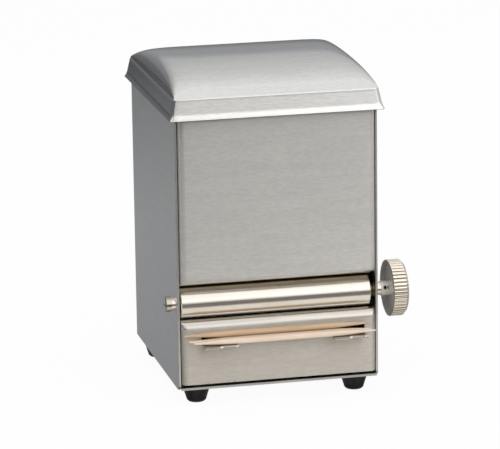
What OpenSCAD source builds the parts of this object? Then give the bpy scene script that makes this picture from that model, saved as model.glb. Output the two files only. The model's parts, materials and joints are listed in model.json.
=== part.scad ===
// Roller toothpick dispenser: a folded sheet-metal case with a lift-off lid.
// Toothpicks lie in a hopper. A grooved roller, turned by a knob, carries them
// over the lip one at a time, and two tabs on the front catch them.
// Millimetres, +Z up, the front faces -Y, the knob is on the +X side.

/* [Case] */
// Width of the case over its side walls
case_w = 70; // [68.5:0.5:90]
// Depth of the case, front face to back face
case_d = 76; // [60:0.5:95]
// Height of the case walls
case_h = 98.8; // [88:0.1:130]
// Thickness of the case's sheet metal
wall_t = 0.8; // [0.6:0.05:1.1]
// Outer bend radius of the two rear corners
rear_bend_r = 1.6; // [1.3:0.1:4]
// Rounding of the side walls' front edges
front_edge_r = 0.5; // [0.2:0.05:0.55]
// How far behind the panels' face the side walls' front edges lie
wall_setback = 1.5; // [0.2:0.1:1.6]
// Corner cut off the foot of each side wall at the front
wall_corner = 1.4; // [0.4:0.1:2]
// Gap between pieces that are welded or laid against each other
fit_gap = 0.05; // [0.02:0.01:0.1]

/* [Front panels] */
// Thickness of the front panels' sheet metal
panel_t = 0.8; // [0.6:0.05:1.1]
// Outer bend radius of the panels' upright edges
panel_bend_r = 2.4; // [1.2:0.1:2.6]
// Depth of the flanges that lie against the side walls
panel_flange = 8; // [5:0.5:14]
// Height of the open slot between the base plate and the lower panel
bottom_slot = 0.95; // [0.5:0.05:2.5]
// Height from the roller's axis to the upper panel's edge
window_rise = 7.45; // [6.8:0.05:12]
// Depth of the hem along the upper panel's edge
hem_depth = 3; // [2:0.1:3.6]
// Bend radius of that hem
hem_r = 1.1; // [1.1:0.1:1.8]
// Bend radius of the lip along the lower panel's edge
lip_r = 3.6; // [3:0.1:4.2]
// Angle through which the lip curves inward
lip_angle = 78; // [50:1:82]
// Gap between the lip and the roller
lip_gap = 0.55; // [0.3:0.05:1]

/* [Toothpick tabs] */
// Width of one tab
tab_w = 11.9; // [8:0.1:16]
// How far a tab reaches out of the front face
tab_reach = 5.2; // [5:0.1:7]
// Distance between the middles of the two tabs
tab_spacing = 45; // [30:0.5:47]
// Offset of the pair of tabs from the middle of the case
tab_offset = 1.3; // [-2:0.1:2]
// Height of a tab's underside above the lower panel's bottom edge
tab_rise = 13.5; // [6:0.1:13.8]
// Height of the slot left by a tab
tab_slot_h = 3.6; // [3:0.1:4.6]
// Inner bend radius at a tab's root
tab_root_r = 0.3; // [0.2:0.05:0.6]
// Width of the upturned lip at a tab's right end
tab_lip_w = 8.3; // [5:0.1:10]
// Height of that lip over the tab's underside
tab_lip_h = 1.35; // [1.2:0.05:2]
// Outer bend radius of that lip
tab_lip_r = 1.15; // [1.15:0.05:1.2]

/* [Base and feet] */
// Thickness of the base plate
base_t = 0.8; // [0.6:0.05:1.5]
// Height of the flanges along the base plate's edges
base_flange_h = 9; // [4:0.5:16]
// How far the side walls reach below the base plate
wall_drop = 0.3; // [0:0.05:1]
// Height of a rubber foot
foot_h = 5.8; // [5:0.1:9]
// Diameter of a foot at the base plate
foot_top_d = 9.9; // [8:0.1:11]
// Diameter of a foot at the floor
foot_bottom_d = 6.6; // [6.2:0.1:7.8]
// Chamfer around a foot's floor face
foot_chamfer = 0.5; // [0.2:0.05:0.7]
// Distance from the case's outer faces to a front foot's middle
foot_inset = 7.25; // [6.5:0.05:12]
// Distance from the side walls' outer faces to a rear foot's middle
rear_foot_inset_x = 5.4; // [5.2:0.1:12]
// Distance from the case's back to a rear foot's middle
rear_foot_inset_y = 12; // [6.5:0.1:20]
// Diameter of a foot screw's thread
foot_screw_d = 2.5; // [2:0.1:3]
// Diameter of a foot screw's head
foot_head_d = 4.2; // [3.8:0.1:4.4]
// Height of a foot screw's head
foot_head_h = 1.6; // [1:0.1:1.8]
// Depth of the screw head's face above the floor
foot_head_rise = 1; // [0.6:0.1:1.6]
// Width across the flats of a foot nut
foot_nut_af = 5; // [4.5:0.1:5.5]
// Height of a foot nut
foot_nut_h = 2; // [1.5:0.1:3]

/* [Roller] */
// Diameter of the roller
roller_d = 10.4; // [9.6:0.1:11]
// Height of the roller's axis above the floor
axis_z = 35.2; // [34:0.1:46]
// Gap between the roller's left end and the side wall
roller_left_gap = 0.35; // [0.2:0.05:1]
// Gap between the roller's right end and the side wall
roller_right_gap = 2; // [1.6:0.05:4]
// Chamfer around the roller's ends
roller_chamfer = 0.25; // [0.1:0.05:0.6]
// Width of the groove that carries one toothpick
groove_w = 2.6; // [2.3:0.1:3]
// Depth of that groove
groove_depth = 2.4; // [2.3:0.1:3]
// Length of the groove's closed ends
groove_end = 0.7; // [0.5:0.1:0.9]
// Where the groove stands at rest, counted from straight up towards the back
groove_angle = 42; // [25:1:60]
// Diameter of the axle
axle_d = 3; // [2.6:0.1:3.2]
// Radial running clearance of the axle in its bushings
axle_play = 0.05; // [0.02:0.01:0.09]
// Radial gap of pieces that are fixed on the axle
press_gap = 0.02; // [0.01:0.01:0.04]
// Axial gap between turning and fixed faces
end_play = 0.12; // [0.08:0.02:0.2]

/* [Bushings and end cap] */
// Diameter of the bushings' barrels
bush_barrel_d = 4.2; // [4:0.05:4.3]
// Diameter of the left bushing's outer collar
bush_collar_d = 4.6; // [4.5:0.05:5]
// Length of that collar
bush_collar_l = 1.5; // [1:0.1:2.5]
// Diameter of the right bushing's inner flange
bush_flange_d = 6; // [5.4:0.1:9]
// Thickness of that flange
bush_flange_t = 0.7; // [0.5:0.05:0.8]
// Outer diameter of the thrust washer
washer_d = 5; // [4.6:0.1:8]
// Diameter of the end cap
cap_d = 5.4; // [5:0.1:7]
// Length of the end cap
cap_l = 2.1; // [1.6:0.1:4]
// Chamfer of the end cap
cap_chamfer = 0.4; // [0.2:0.05:0.6]
// Width and depth of the end cap's screwdriver slot
cap_slot = 0.7; // [0.5:0.05:0.8]

/* [Knob] */
// Diameter of the knob over its knurling
knob_d = 19.4; // [16:0.1:22]
// Thickness of the knob
knob_t = 5.45; // [4:0.05:8]
// Gap between the case and the knob's rim
knob_gap = 4.2; // [3:0.1:8]
// Number of ridges in the knurling
knurl_count = 48; // [24:1:60]
// Depth of the knurling
knurl_depth = 0.35; // [0.15:0.05:0.6]
// Chamfer around the knob's outer face
knob_chamfer = 1; // [0.4:0.1:1.5]
// Thickness of the rim around the knob's recess
knob_rim = 0.9; // [0.7:0.05:2]
// Depth of the recess in the knob's inner face
knob_recess = 0.5; // [0.5:0.1:2.6]
// Diameter of the knob's hub
hub_d = 5; // [4.8:0.1:7]
// Diameter of the set screw in the hub
set_screw_d = 1.5; // [1.2:0.1:1.8]
// Angle of the set screw above the horizontal
set_screw_angle = 19; // [0:1:60]

/* [Hopper] */
// Thickness of the hopper's sheets
hopper_t = 0.7; // [0.5:0.05:1]
// Slope of the ramp
ramp_slope = 22; // [15:1:30]
// Angle round the roller at which the ramp ends, above the horizontal
ramp_end_angle = 25; // [15:1:35]
// Gap between the hopper's sheets and the roller
hopper_gap = 0.75; // [0.5:0.05:1.5]
// Height of the ramp's flanges
ramp_flange_h = 7; // [4:0.5:10]
// Height of the front guide above the window
guide_h = 16; // [12:0.5:30]
// Height of the front guide's welded band
guide_band_h = 6; // [4:0.5:8]

/* [Lid] */
// Thickness of the lid's sheet metal
lid_t = 0.6; // [0.5:0.02:0.64]
// Sideways clearance of the lid on the case's rim
lid_gap = 0.08; // [0.06:0.01:0.15]
// How far the flare's edge stands out of the case
flare_out = 1.95; // [1.5:0.05:3]
// Height of the flare
flare_h = 2.1; // [1.5:0.1:3]
// How far the skirt's foot stands out of the case
skirt_out = 1.2; // [0.9:0.05:1.4]
// How far the skirt's top stands out of the case
skirt_in = 0.4; // [0.2:0.05:0.55]
// Height of the skirt
skirt_h = 4.1; // [3.5:0.1:7]
// Height of the shoulder between the skirt and the dome
shoulder_h = 0.55; // [0.4:0.05:0.8]
// Rise of the dome
dome_rise = 8; // [4:0.1:12]
// Squareness of the dome from side to side
dome_side_power = 10; // [6:0.5:12]
// Fullness of the dome's folded sides
dome_side_round = 0.74; // [0.6:0.01:1]
// Fullness of the dome's front and back
dome_front_round = 1.08; // [0.9:0.01:1.2]
// Corner radius of the lid
lid_corner_r = 1.1; // [1.1:0.05:1.15]

/* [Toothpicks] */
// Length of a toothpick
pick_l = 63.5; // [60:0.5:64]
// Diameter of a toothpick
pick_d = 2.1; // [1.8:0.05:2.2]
// Length of a toothpick's point
pick_point = 12; // [6:0.5:16]
// Diameter of a toothpick's tip
pick_tip_d = 0.6; // [0.4:0.05:0.8]
// Gap around a toothpick that lies on a tab
pick_gap = 0.08; // [0.05:0.01:0.15]
// Sideways shift of the rear toothpick
pick_rear_x = -1.75; // [-2.5:0.05:2]
// Sideways shift of the middle toothpick
pick_middle_x = 0.05; // [-2:0.05:2]
// Sideways shift of the front toothpick
pick_front_x = 1.25; // [-2:0.05:2.4]

/* [Hidden] */

$fn = 64;
cut = 1;                // how far a cutting shape runs past a face
bend_steps = 8;         // straight steps in a quarter bend

// Case: its faces and heights
front_y = -case_d / 2;
back_y = case_d / 2;
wall_front_y = front_y + wall_setback;
side_x = case_w / 2;
inner_x = side_x - wall_t;
wall_z = foot_h - wall_drop;
rim_z = wall_z + case_h;
base_top = foot_h + base_t;

// Front panels
panel_x = inner_x - fit_gap;
panel_z = base_top + bottom_slot;
window_z = axis_z + window_rise;

// Roller and what turns with it
roller_r = roller_d / 2;
axis_y = front_y + roller_r;
roller_x0 = -inner_x + roller_left_gap;
roller_x1 = inner_x - roller_right_gap;
cap_x = -side_x - bush_collar_l - end_play;
cap_bore_l = cap_l - cap_slot - 0.4;
knob_x = side_x + knob_gap;
knob_end_x = knob_x + knob_t;
knob_floor_x = knob_x + knob_recess;
axle_x0 = cap_x - cap_bore_l + end_play;
axle_x1 = knob_end_x - knob_chamfer - 0.3;
flange_x = inner_x - bush_flange_t;

// Lip: the centre of its bend, placed so that its edge clears the roller
lip_edge_y = lip_r * (1 - cos(lip_angle));
lip_z = axis_z - lip_r * sin(lip_angle)
    - sqrt(pow(roller_r + lip_gap, 2) - pow(roller_r - lip_edge_y, 2));

// Tabs
tab_z = panel_z + tab_rise;
tab_x = [for (side = [-1, 1]) tab_offset + side * tab_spacing / 2];

// Lid: heights from the point where its inner face meets the case's rim
seat_share = (skirt_out - lid_t - lid_gap) / (skirt_out - skirt_in);
skirt_z = rim_z - seat_share * skirt_h;
flare_z = skirt_z - flare_h;
dome_z = skirt_z + skirt_h + shoulder_h;
dome_x = side_x;
dome_y = case_d / 2;

// Row frame: the origin is under the middle of the whole part's box
reach_left = max(side_x + flare_out, cap_l - cap_x);
reach_right = max(side_x + flare_out, knob_end_x);
reach_front = max(flare_out, tab_reach, knob_d / 2 - roller_r);
centre_x = (reach_left - reach_right) / 2;
centre_y = (reach_front - flare_out) / 2;

// ---- shared shapes -------------------------------------------------------

module in_frame() translate([centre_x, centre_y, 0]) children();

// A (Y, Z) outline, drawn out along X from x0 to x1
module along_x(x0, x1) translate([x0, 0, 0]) rotate([90, 0, 90])
    linear_extrude(x1 - x0) children();

// A shape on the roller's axis, with its own Z turned along +X from x
module on_axis(x) translate([x, axis_y, axis_z]) rotate([0, 90, 0]) children();

module tube(d, bore, l) difference() {
    cylinder(d = d, h = l);
    translate([0, 0, -cut]) cylinder(d = bore, h = l + 2 * cut);
}

function arc(centre, r, from, to, steps = bend_steps) =
    [for (i = [0:steps]) let (a = from + (to - from) * i / steps)
        centre + r * [cos(a), sin(a)]];

// A bent sheet's outline: the points of one face and its thickness
function direction(a, b) = (b - a) / norm(b - a);
function normal(a, b) = let (d = direction(a, b)) [-d[1], d[0]];
function mitre(a, b, c) = let (m = normal(a, b) + normal(b, c))
    2 * m / (m * m);
function offset_side(pts, t) = let (last = len(pts) - 1)
    [for (i = [0:last]) pts[i] + t * (
        i == 0 ? normal(pts[0], pts[1]) :
        i == last ? normal(pts[last - 1], pts[last]) :
        mitre(pts[i - 1], pts[i], pts[i + 1]))];
function backwards(v) = [for (i = [len(v) - 1:-1:0]) v[i]];
function sheet(pts, t) = concat(pts, backwards(offset_side(pts, t)));

// ---- case ----------------------------------------------------------------

// Plan of the case's outside: rounded front edges and bent rear corners
module case_plan() polygon(concat(
    arc([-side_x + front_edge_r, wall_front_y + front_edge_r], front_edge_r, 180, 270),
    arc([side_x - front_edge_r, wall_front_y + front_edge_r], front_edge_r, 270, 360),
    arc([side_x - rear_bend_r, back_y - rear_bend_r], rear_bend_r, 0, 90),
    arc([-side_x + rear_bend_r, back_y - rear_bend_r], rear_bend_r, 90, 180)));

// Plan of the space inside, shrunk by gap, from y to the back wall
module inner_plan(y, gap) {
    x = inner_x - gap;
    r = rear_bend_r - wall_t;
    rear_y = back_y - wall_t - gap;
    polygon(concat([[-x, y], [x, y]],
        arc([x - r, rear_y - r], r, 0, 90),
        arc([-x + r, rear_y - r], r, 90, 180)));
}

module case_wrap() in_frame() color([0.62, 0.64, 0.66]) difference() {
    translate([0, 0, wall_z]) linear_extrude(case_h) case_plan();
    translate([0, 0, wall_z - cut]) linear_extrude(case_h + 2 * cut)
        inner_plan(front_y - cut, 0);
    along_x(-side_x - cut, side_x + cut) polygon([
        [wall_front_y - cut, wall_z - cut],
        [wall_front_y + wall_corner + cut, wall_z - cut],
        [wall_front_y - cut, wall_z + wall_corner + cut]]);
    on_axis(-side_x - cut) cylinder(d = bush_barrel_d + 2 * press_gap, h = wall_t + 2 * cut);
    on_axis(inner_x - cut) cylinder(d = bush_barrel_d + 2 * press_gap, h = wall_t + 2 * cut);
}

// Plan of a front panel: a face with rounded upright edges and two flanges
module panel_plan(inset, depth) {
    x = panel_x - inset;
    y = front_y + inset;
    r = panel_bend_r - inset;
    polygon(concat(arc([-x + r, y + r], r, 180, 270), arc([x - r, y + r], r, 270, 360),
        [[x, front_y + depth], [-x, front_y + depth]]));
}

// Side outline of the upper panel: straight, with a hem bent in at its foot
module upper_outline(inset, top) {
    y = front_y + inset;
    r = hem_r - inset;
    back = front_y + panel_flange + inset;
    polygon(concat(arc([y + r, window_z + inset + r], r, 270, 180),
        [[y, top], [back, top], [back, window_z + inset]]));
}

module upper_front_panel() in_frame() color([0.70, 0.70, 0.69]) difference() {
    intersection() {
        translate([0, 0, window_z]) linear_extrude(rim_z - window_z) panel_plan(0, panel_flange);
        along_x(-panel_x, panel_x) upper_outline(0, rim_z);
    }
    intersection() {
        translate([0, 0, window_z]) linear_extrude(rim_z - window_z + cut)
            panel_plan(panel_t, panel_flange + cut);
        along_x(-panel_x, panel_x) upper_outline(panel_t, rim_z + cut);
    }
    translate([-panel_x + panel_t, front_y + hem_depth, window_z - cut])
        cube([2 * (panel_x - panel_t), panel_flange, panel_t + 2 * cut]);
}

// Side outline of the lower panel: straight, then bent in to the lip
module lower_outline(inset, foot) {
    y = front_y + inset;
    r = lip_r - inset;
    back = front_y + panel_flange + inset;
    polygon(concat([[y, foot]], arc([y + r, lip_z], r, 180, 90),
        [[back, lip_z + r], [back, foot]]));
}

// What is cut away behind the lip: all above its bend's centre and past its edge
module lip_cut() {
    centre = [front_y + lip_r, lip_z];
    far = 2 * panel_flange;
    end = 180 - lip_angle;
    polygon([centre, centre + far * [cos(end), sin(end)], centre + far * [1, sin(end)],
        centre + far * [1, 0]]);
}

// Side outline of a tab: bent out of the panel, with or without its lip
module tab_outline(with_lip) {
    root = [front_y - tab_root_r, tab_z - tab_root_r];
    tip_y = front_y - tab_reach;
    top = tab_z + panel_t;
    bend = [tip_y + tab_lip_r, tab_z + tab_lip_r];
    tip = with_lip
        ? concat(arc(bend, tab_lip_r, 270, 180),
            [[tip_y, tab_z + tab_lip_h], [tip_y + panel_t, tab_z + tab_lip_h]],
            arc(bend, tab_lip_r - panel_t, 180, 270))
        : [[tip_y, tab_z], [tip_y, top]];
    polygon(concat(arc(root, tab_root_r, 0, 90), tip, arc(root, tab_root_r + panel_t, 90, 0)));
}

module lower_front_panel() in_frame() color([0.69, 0.68, 0.66]) {
    lip_top = lip_z + lip_r;
    difference() {
        intersection() {
            translate([0, 0, panel_z]) linear_extrude(lip_top - panel_z) panel_plan(0, panel_flange);
            along_x(-panel_x, panel_x) lower_outline(0, panel_z);
        }
        intersection() {
            translate([0, 0, panel_z - cut]) linear_extrude(lip_top - panel_z + cut)
                panel_plan(panel_t, panel_flange + cut);
            along_x(-panel_x, panel_x) lower_outline(panel_t, panel_z - cut);
        }
        along_x(-panel_x - cut, panel_x + cut) lip_cut();
        for (x = tab_x) translate([x - tab_w / 2, front_y - cut, tab_z - tab_root_r])
            cube([tab_w, panel_t + 2 * cut, tab_slot_h + tab_root_r]);
    }
    for (x = tab_x) {
        along_x(x - tab_w / 2, x + tab_w / 2) tab_outline(false);
        along_x(x + tab_w / 2 - tab_lip_w, x + tab_w / 2) tab_outline(true);
    }
}

// ---- base and feet -------------------------------------------------------

foot_places = concat(
    [for (sx = [-1, 1]) [sx * (side_x - foot_inset), front_y + foot_inset]],
    [for (sx = [-1, 1]) [sx * (side_x - rear_foot_inset_x), back_y - rear_foot_inset_y]]);

module base_plate() in_frame() color([0.60, 0.61, 0.62]) difference() {
    union() {
        translate([0, 0, foot_h]) linear_extrude(base_t) inner_plan(front_y, fit_gap);
        translate([0, 0, foot_h]) linear_extrude(base_flange_h)
            inner_plan(front_y + panel_flange + 2 * panel_t, fit_gap);
    }
    translate([0, 0, base_top]) linear_extrude(base_flange_h)
        inner_plan(front_y - cut, fit_gap + base_t);
    for (p = foot_places) translate([p[0], p[1], foot_h - cut])
        cylinder(d = foot_screw_d + 4 * fit_gap, h = base_t + 2 * cut, $fn = 32);
}

module foot(place) in_frame() color([0.05, 0.05, 0.05])
    translate([place[0], place[1], 0]) rotate_extrude() polygon([
        [foot_head_d / 2 + 2 * fit_gap, 0],
        [foot_bottom_d / 2 - foot_chamfer, 0],
        [foot_bottom_d / 2, foot_chamfer],
        [foot_top_d / 2, foot_h],
        [foot_screw_d / 2 + fit_gap, foot_h],
        [foot_screw_d / 2 + fit_gap, foot_head_rise + foot_head_h],
        [foot_head_d / 2 + 2 * fit_gap, foot_head_rise + foot_head_h]]);

module foot_front_left() foot(foot_places[0]);
module foot_front_right() foot(foot_places[1]);
module foot_rear_left() foot(foot_places[2]);
module foot_rear_right() foot(foot_places[3]);

module foot_screws() in_frame() color([0.75, 0.74, 0.70]) for (p = foot_places)
    translate([p[0], p[1], foot_head_rise]) difference() {
        union() {
            cylinder(d = foot_head_d, h = foot_head_h, $fn = 32);
            cylinder(d = foot_screw_d, h = base_top + foot_nut_h + fit_gap * 8 - foot_head_rise, $fn = 32);
        }
        translate([-foot_head_d, -foot_head_h / 4, -cut])
            cube([2 * foot_head_d, foot_head_h / 2, cut + foot_head_h / 2]);
    }

module foot_nuts() in_frame() color([0.75, 0.74, 0.70]) for (p = foot_places)
    translate([p[0], p[1], base_top]) difference() {
        cylinder(d = foot_nut_af / cos(30), h = foot_nut_h, $fn = 6);
        translate([0, 0, -cut]) cylinder(d = foot_screw_d + 2 * press_gap, h = foot_nut_h + 2 * cut, $fn = 32);
    }

// ---- hopper --------------------------------------------------------------

module hopper_ramp() in_frame() color([0.58, 0.59, 0.60]) {
    reach = roller_r + hopper_gap;
    foot_pt = [axis_y + reach * cos(ramp_end_angle), axis_z + reach * sin(ramp_end_angle)];
    wall_y = back_y - wall_t - fit_gap;
    heel = [wall_y, foot_pt[1] + (wall_y - foot_pt[0]) * tan(ramp_slope)];
    x = inner_x - fit_gap;
    flange_foot = foot_pt + 2 * hopper_t * direction(foot_pt, heel);
    under = [0, -ramp_flange_h];
    lap = [0, hopper_t / 2];
    intersection() {
        linear_extrude(rim_z) inner_plan(front_y, fit_gap);
        union() {
            along_x(-x, x)
                polygon(sheet([heel + [0, ramp_flange_h], heel, foot_pt], -hopper_t));
            for (x0 = [-x, x - hopper_t]) along_x(x0, x0 + hopper_t)
                polygon([flange_foot + lap, flange_foot + under, heel + under, heel + lap]);
        }
    }
}

module front_guide() in_frame() color([0.58, 0.59, 0.60]) {
    inside_y = front_y + panel_t + fit_gap;
    x = panel_x - panel_t - fit_gap;
    top = window_z + guide_h;
    foot_y = axis_y + hopper_t / 2;
    intersection() {
        linear_extrude(rim_z) panel_plan(panel_t + fit_gap, 2 * panel_flange);
        along_x(-x, x) polygon(sheet([
            [inside_y, top],
            [inside_y, top - guide_band_h],
            [foot_y, window_z + guide_h / 4],
            [foot_y, axis_z + roller_r + hopper_gap]], hopper_t));
    }
}

// ---- roller --------------------------------------------------------------

module bushing_left() in_frame() color([0.80, 0.78, 0.72]) difference() {
    union() {
        on_axis(-side_x - bush_collar_l) cylinder(d = bush_collar_d, h = bush_collar_l);
        on_axis(-side_x - cut / 2) cylinder(d = bush_barrel_d, h = wall_t + cut / 2);
    }
    on_axis(-side_x - bush_collar_l - cut)
        cylinder(d = axle_d + 2 * axle_play, h = bush_collar_l + wall_t + 2 * cut);
}

module bushing_right() in_frame() color([0.80, 0.78, 0.72]) difference() {
    union() {
        on_axis(flange_x) cylinder(d = bush_flange_d, h = bush_flange_t);
        on_axis(flange_x) cylinder(d = bush_barrel_d, h = bush_flange_t + wall_t);
    }
    on_axis(flange_x - cut)
        cylinder(d = axle_d + 2 * axle_play, h = bush_flange_t + wall_t + 2 * cut);
}

module roller() in_frame() color([0.84, 0.81, 0.74]) difference() {
    length = roller_x1 - roller_x0;
    on_axis(roller_x0) rotate_extrude() polygon([
        [0, 0], [roller_r - roller_chamfer, 0], [roller_r, roller_chamfer],
        [roller_r, length - roller_chamfer], [roller_r - roller_chamfer, length], [0, length]]);
    on_axis(roller_x0 - cut) cylinder(d = axle_d + 2 * press_gap, h = length + 2 * cut, $fn = 32);
    translate([0, axis_y, axis_z]) rotate([-groove_angle, 0, 0]) {
        x0 = roller_x0 + groove_end;
        floor_r = roller_r - groove_depth;
        translate([x0, 0, floor_r + groove_w / 2]) rotate([0, 90, 0])
            cylinder(d = groove_w, h = length - 2 * groove_end, $fn = 32);
        translate([x0, -groove_w / 2, floor_r + groove_w / 2])
            cube([length - 2 * groove_end, groove_w, groove_depth]);
    }
}

module axle() in_frame() color([0.72, 0.72, 0.72])
    on_axis(axle_x0) cylinder(d = axle_d, h = axle_x1 - axle_x0, $fn = 48);

module thrust_washer() in_frame() color([0.85, 0.84, 0.80])
    on_axis(roller_x1 + end_play)
        tube(washer_d, axle_d + 2 * axle_play, flange_x - roller_x1 - 2 * end_play);

module end_cap() in_frame() color([0.80, 0.78, 0.72]) difference() {
    on_axis(cap_x - cap_l) rotate_extrude() polygon([
        [0, 0], [cap_d / 2 - cap_chamfer, 0], [cap_d / 2, cap_chamfer],
        [cap_d / 2, cap_l], [0, cap_l]]);
    on_axis(cap_x - cap_bore_l) cylinder(d = axle_d + 2 * press_gap, h = cap_bore_l + cut, $fn = 48);
    translate([cap_x - cap_l - cut, axis_y - cap_d, axis_z - cap_slot / 2])
        cube([cut + cap_slot, 2 * cap_d, cap_slot]);
}

// Outline of the knurling: flat-topped ridges round the rim
function knurl_outline() = let (pitch = 360 / knurl_count, r = knob_d / 2)
    [for (i = [0:knurl_count - 1], p = [[0, 0], [0.6, 0], [0.74, 1], [0.86, 1]])
        let (a = (i + p[0]) * pitch, ridge_r = r - p[1] * knurl_depth)
        ridge_r * [cos(a), sin(a)]];

module knob() in_frame() color([0.80, 0.78, 0.72]) difference() {
    hub_x = side_x + end_play;
    face_r = knob_d / 2 - knob_chamfer;
    union() {
        difference() {
            intersection() {
                on_axis(knob_x) linear_extrude(knob_t) polygon(knurl_outline());
                on_axis(knob_x) rotate_extrude() polygon([
                    [0, 0], [knob_d / 2, 0], [knob_d / 2, knob_t - knob_chamfer],
                    [face_r, knob_t], [0, knob_t]]);
            }
            on_axis(knob_x - cut)
                cylinder(d = knob_d - 2 * knurl_depth - 2 * knob_rim, h = knob_recess + cut);
        }
        on_axis(hub_x) cylinder(d = hub_d, h = knob_floor_x - hub_x + cut / 2);
    }
    on_axis(hub_x - cut) cylinder(d = axle_d + 2 * press_gap, h = axle_x1 - hub_x + cut + end_play, $fn = 48);
    set_screw_way() cylinder(d = set_screw_d + 2 * press_gap, h = hub_d, $fn = 24);
}

// The set screw's line: out of the hub's axis, towards the front
module set_screw_way() translate([knob_x - set_screw_d / 2 - 2 * fit_gap, axis_y, axis_z])
    rotate([90 - set_screw_angle, 0, 0]) children();

module knob_set_screw() in_frame() color([0.25, 0.25, 0.25]) difference() {
    foot_r = axle_d / 2 + fit_gap;
    head_r = sqrt(pow(hub_d / 2, 2) - pow(set_screw_d / 2, 2)) - 2 * fit_gap;
    set_screw_way() translate([0, 0, foot_r]) cylinder(d = set_screw_d, h = head_r - foot_r, $fn = 24);
    set_screw_way() translate([0, 0, (foot_r + head_r) / 2])
        cylinder(d = set_screw_d / 2, h = hub_d, $fn = 6);
}

// ---- lid -----------------------------------------------------------------

// The dome's height over its base, from 0 at its edge to 1 at its middle:
// a low arch front to back, folded down at both sides
function arch(v) = pow(max(1 - v * v, 0.000001), dome_front_round);
function folded(u) = pow(max(1 - pow(u, dome_side_power), 0.000001), dome_side_round);
function dome(u, v) = let (a = arch(v), b = folded(u)) sqrt(2) * a * b / sqrt(a * a + b * b);

// One level outline of the lid: half sizes, corner radius, and points per side
side_steps = 8;
corner_steps = 3;
function ring(hx, hy, r) = [for (k = [0:3])
    let (s = [[1, 1], [-1, 1], [-1, -1], [1, -1]],
        a = arc([s[k][0] * (hx - r), s[k][1] * (hy - r)], r, 90 * k, 90 * k + 90, corner_steps),
        next = s[(k + 1) % 4],
        b = [next[0] * (hx - r), next[1] * (hy - r)] + r * [cos(90 * k + 90), sin(90 * k + 90)])
    each concat(a, [for (i = [1:side_steps - 1]) a[corner_steps] + (b - a[corner_steps]) * i / side_steps])];

// Rings of the flare and skirt, each as how far it stands out and its height
flare_steps = 4;
skirt_rings = concat(
    [for (i = [0:flare_steps]) let (h = i / flare_steps)
        [skirt_out + (flare_out - skirt_out) * pow(1 - h, 1.6), flare_z + flare_h * h]],
    [[(skirt_out + skirt_in) / 2, skirt_z + skirt_h / 2], [skirt_in, skirt_z + skirt_h]]);
// Rings of the dome, each as its share of the dome's half width and depth
dome_steps = 10;
dome_rings = [for (i = [0:dome_steps - 1]) cos(90 * i / dome_steps)];

// All points of one skin of the lid, set in by t, and its middle point last
function skin(t) = concat(
    [for (r = skirt_rings, p = ring(dome_x + r[0] - t, dome_y + r[0] - t, lid_corner_r - t * 0.9))
        [p[0], p[1], r[1]]],
    [for (s = dome_rings, p = ring(s, s * dome_y / dome_x, s * (lid_corner_r - t * 0.9) / dome_x))
        [p[0] * (dome_x - t), p[1] * dome_x * (dome_y - t) / dome_y,
            dome_z - t + dome_rise * dome(abs(p[0]), abs(p[1]) * dome_x / dome_y)]],
    [[0, 0, dome_z - t + dome_rise]]);

module lid() in_frame() color([0.76, 0.76, 0.75]) {
    outer = skin(0);
    inner = skin(lid_t);
    n = 4 * (corner_steps + side_steps);
    rings = len(skirt_rings) + len(dome_rings);
    total = len(outer);
    walls = [for (i = [0:rings - 2], j = [0:n - 1])
        let (a = i * n + j, b = i * n + (j + 1) % n, c = b + n, d = a + n)
        each [[a, c, b], [a, d, c]]];
    crown = [for (j = [0:n - 1]) [(rings - 1) * n + j, total - 1, (rings - 1) * n + (j + 1) % n]];
    outside = concat(walls, crown);
    inside = [for (f = outside) [f[0] + total, f[2] + total, f[1] + total]];
    edge = [for (j = [0:n - 1]) let (k = (j + 1) % n) each [[j, k, k + total], [j, k + total, j + total]]];
    polyhedron(concat(outer, inner), concat(outside, inside, edge));
}

// ---- toothpicks ----------------------------------------------------------

module toothpick(x, y, z) in_frame() translate([x - pick_l / 2, y, z]) rotate([0, 90, 0])
    rotate_extrude($fn = 24) polygon([
        [0, 0], [pick_tip_d / 2, 0], [pick_d / 2, pick_point],
        [pick_d / 2, pick_l - pick_point], [pick_tip_d / 2, pick_l], [0, pick_l]]);

pick_y = front_y - pick_d / 2 - pick_gap;
pick_z = tab_z + panel_t + pick_d / 2 + pick_gap;
pick_step = pick_d + pick_gap;

module toothpick_rear() color([0.78, 0.62, 0.42]) toothpick(pick_rear_x, pick_y, pick_z + pick_step);
module toothpick_middle() color([0.90, 0.78, 0.62]) toothpick(pick_middle_x, pick_y, pick_z);
module toothpick_front() color([0.92, 0.80, 0.65])
    toothpick(pick_front_x, pick_y - pick_step, pick_z);

case_wrap();
upper_front_panel();
lower_front_panel();
base_plate();
hopper_ramp();
front_guide();
bushing_left();
bushing_right();
foot_front_left();
foot_front_right();
foot_rear_left();
foot_rear_right();
foot_screws();
foot_nuts();
roller();
axle();
thrust_washer();
end_cap();
knob();
knob_set_screw();
lid();
toothpick_rear();
toothpick_middle();
toothpick_front();
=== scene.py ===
"""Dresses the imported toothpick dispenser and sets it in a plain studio.

The case is folded from brushed steel, with a pressed lid, a nickel-plated roller
and knob, rubber feet and three birch toothpicks on the tabs. The pieces' sizes are
in millimetres, measured from the case: X from its middle, Y back from its front
face, Z up from the table. Place turns them into the frame's metres. Finishes, lamps
and boards are in metres.
"""

import json
import logging
import math
from collections.abc import Callable, Iterable, Sequence
from dataclasses import dataclass, field
from enum import Enum, IntEnum
from typing import ClassVar

import bmesh
import bpy
from mathutils import Matrix, Vector, noise

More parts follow.
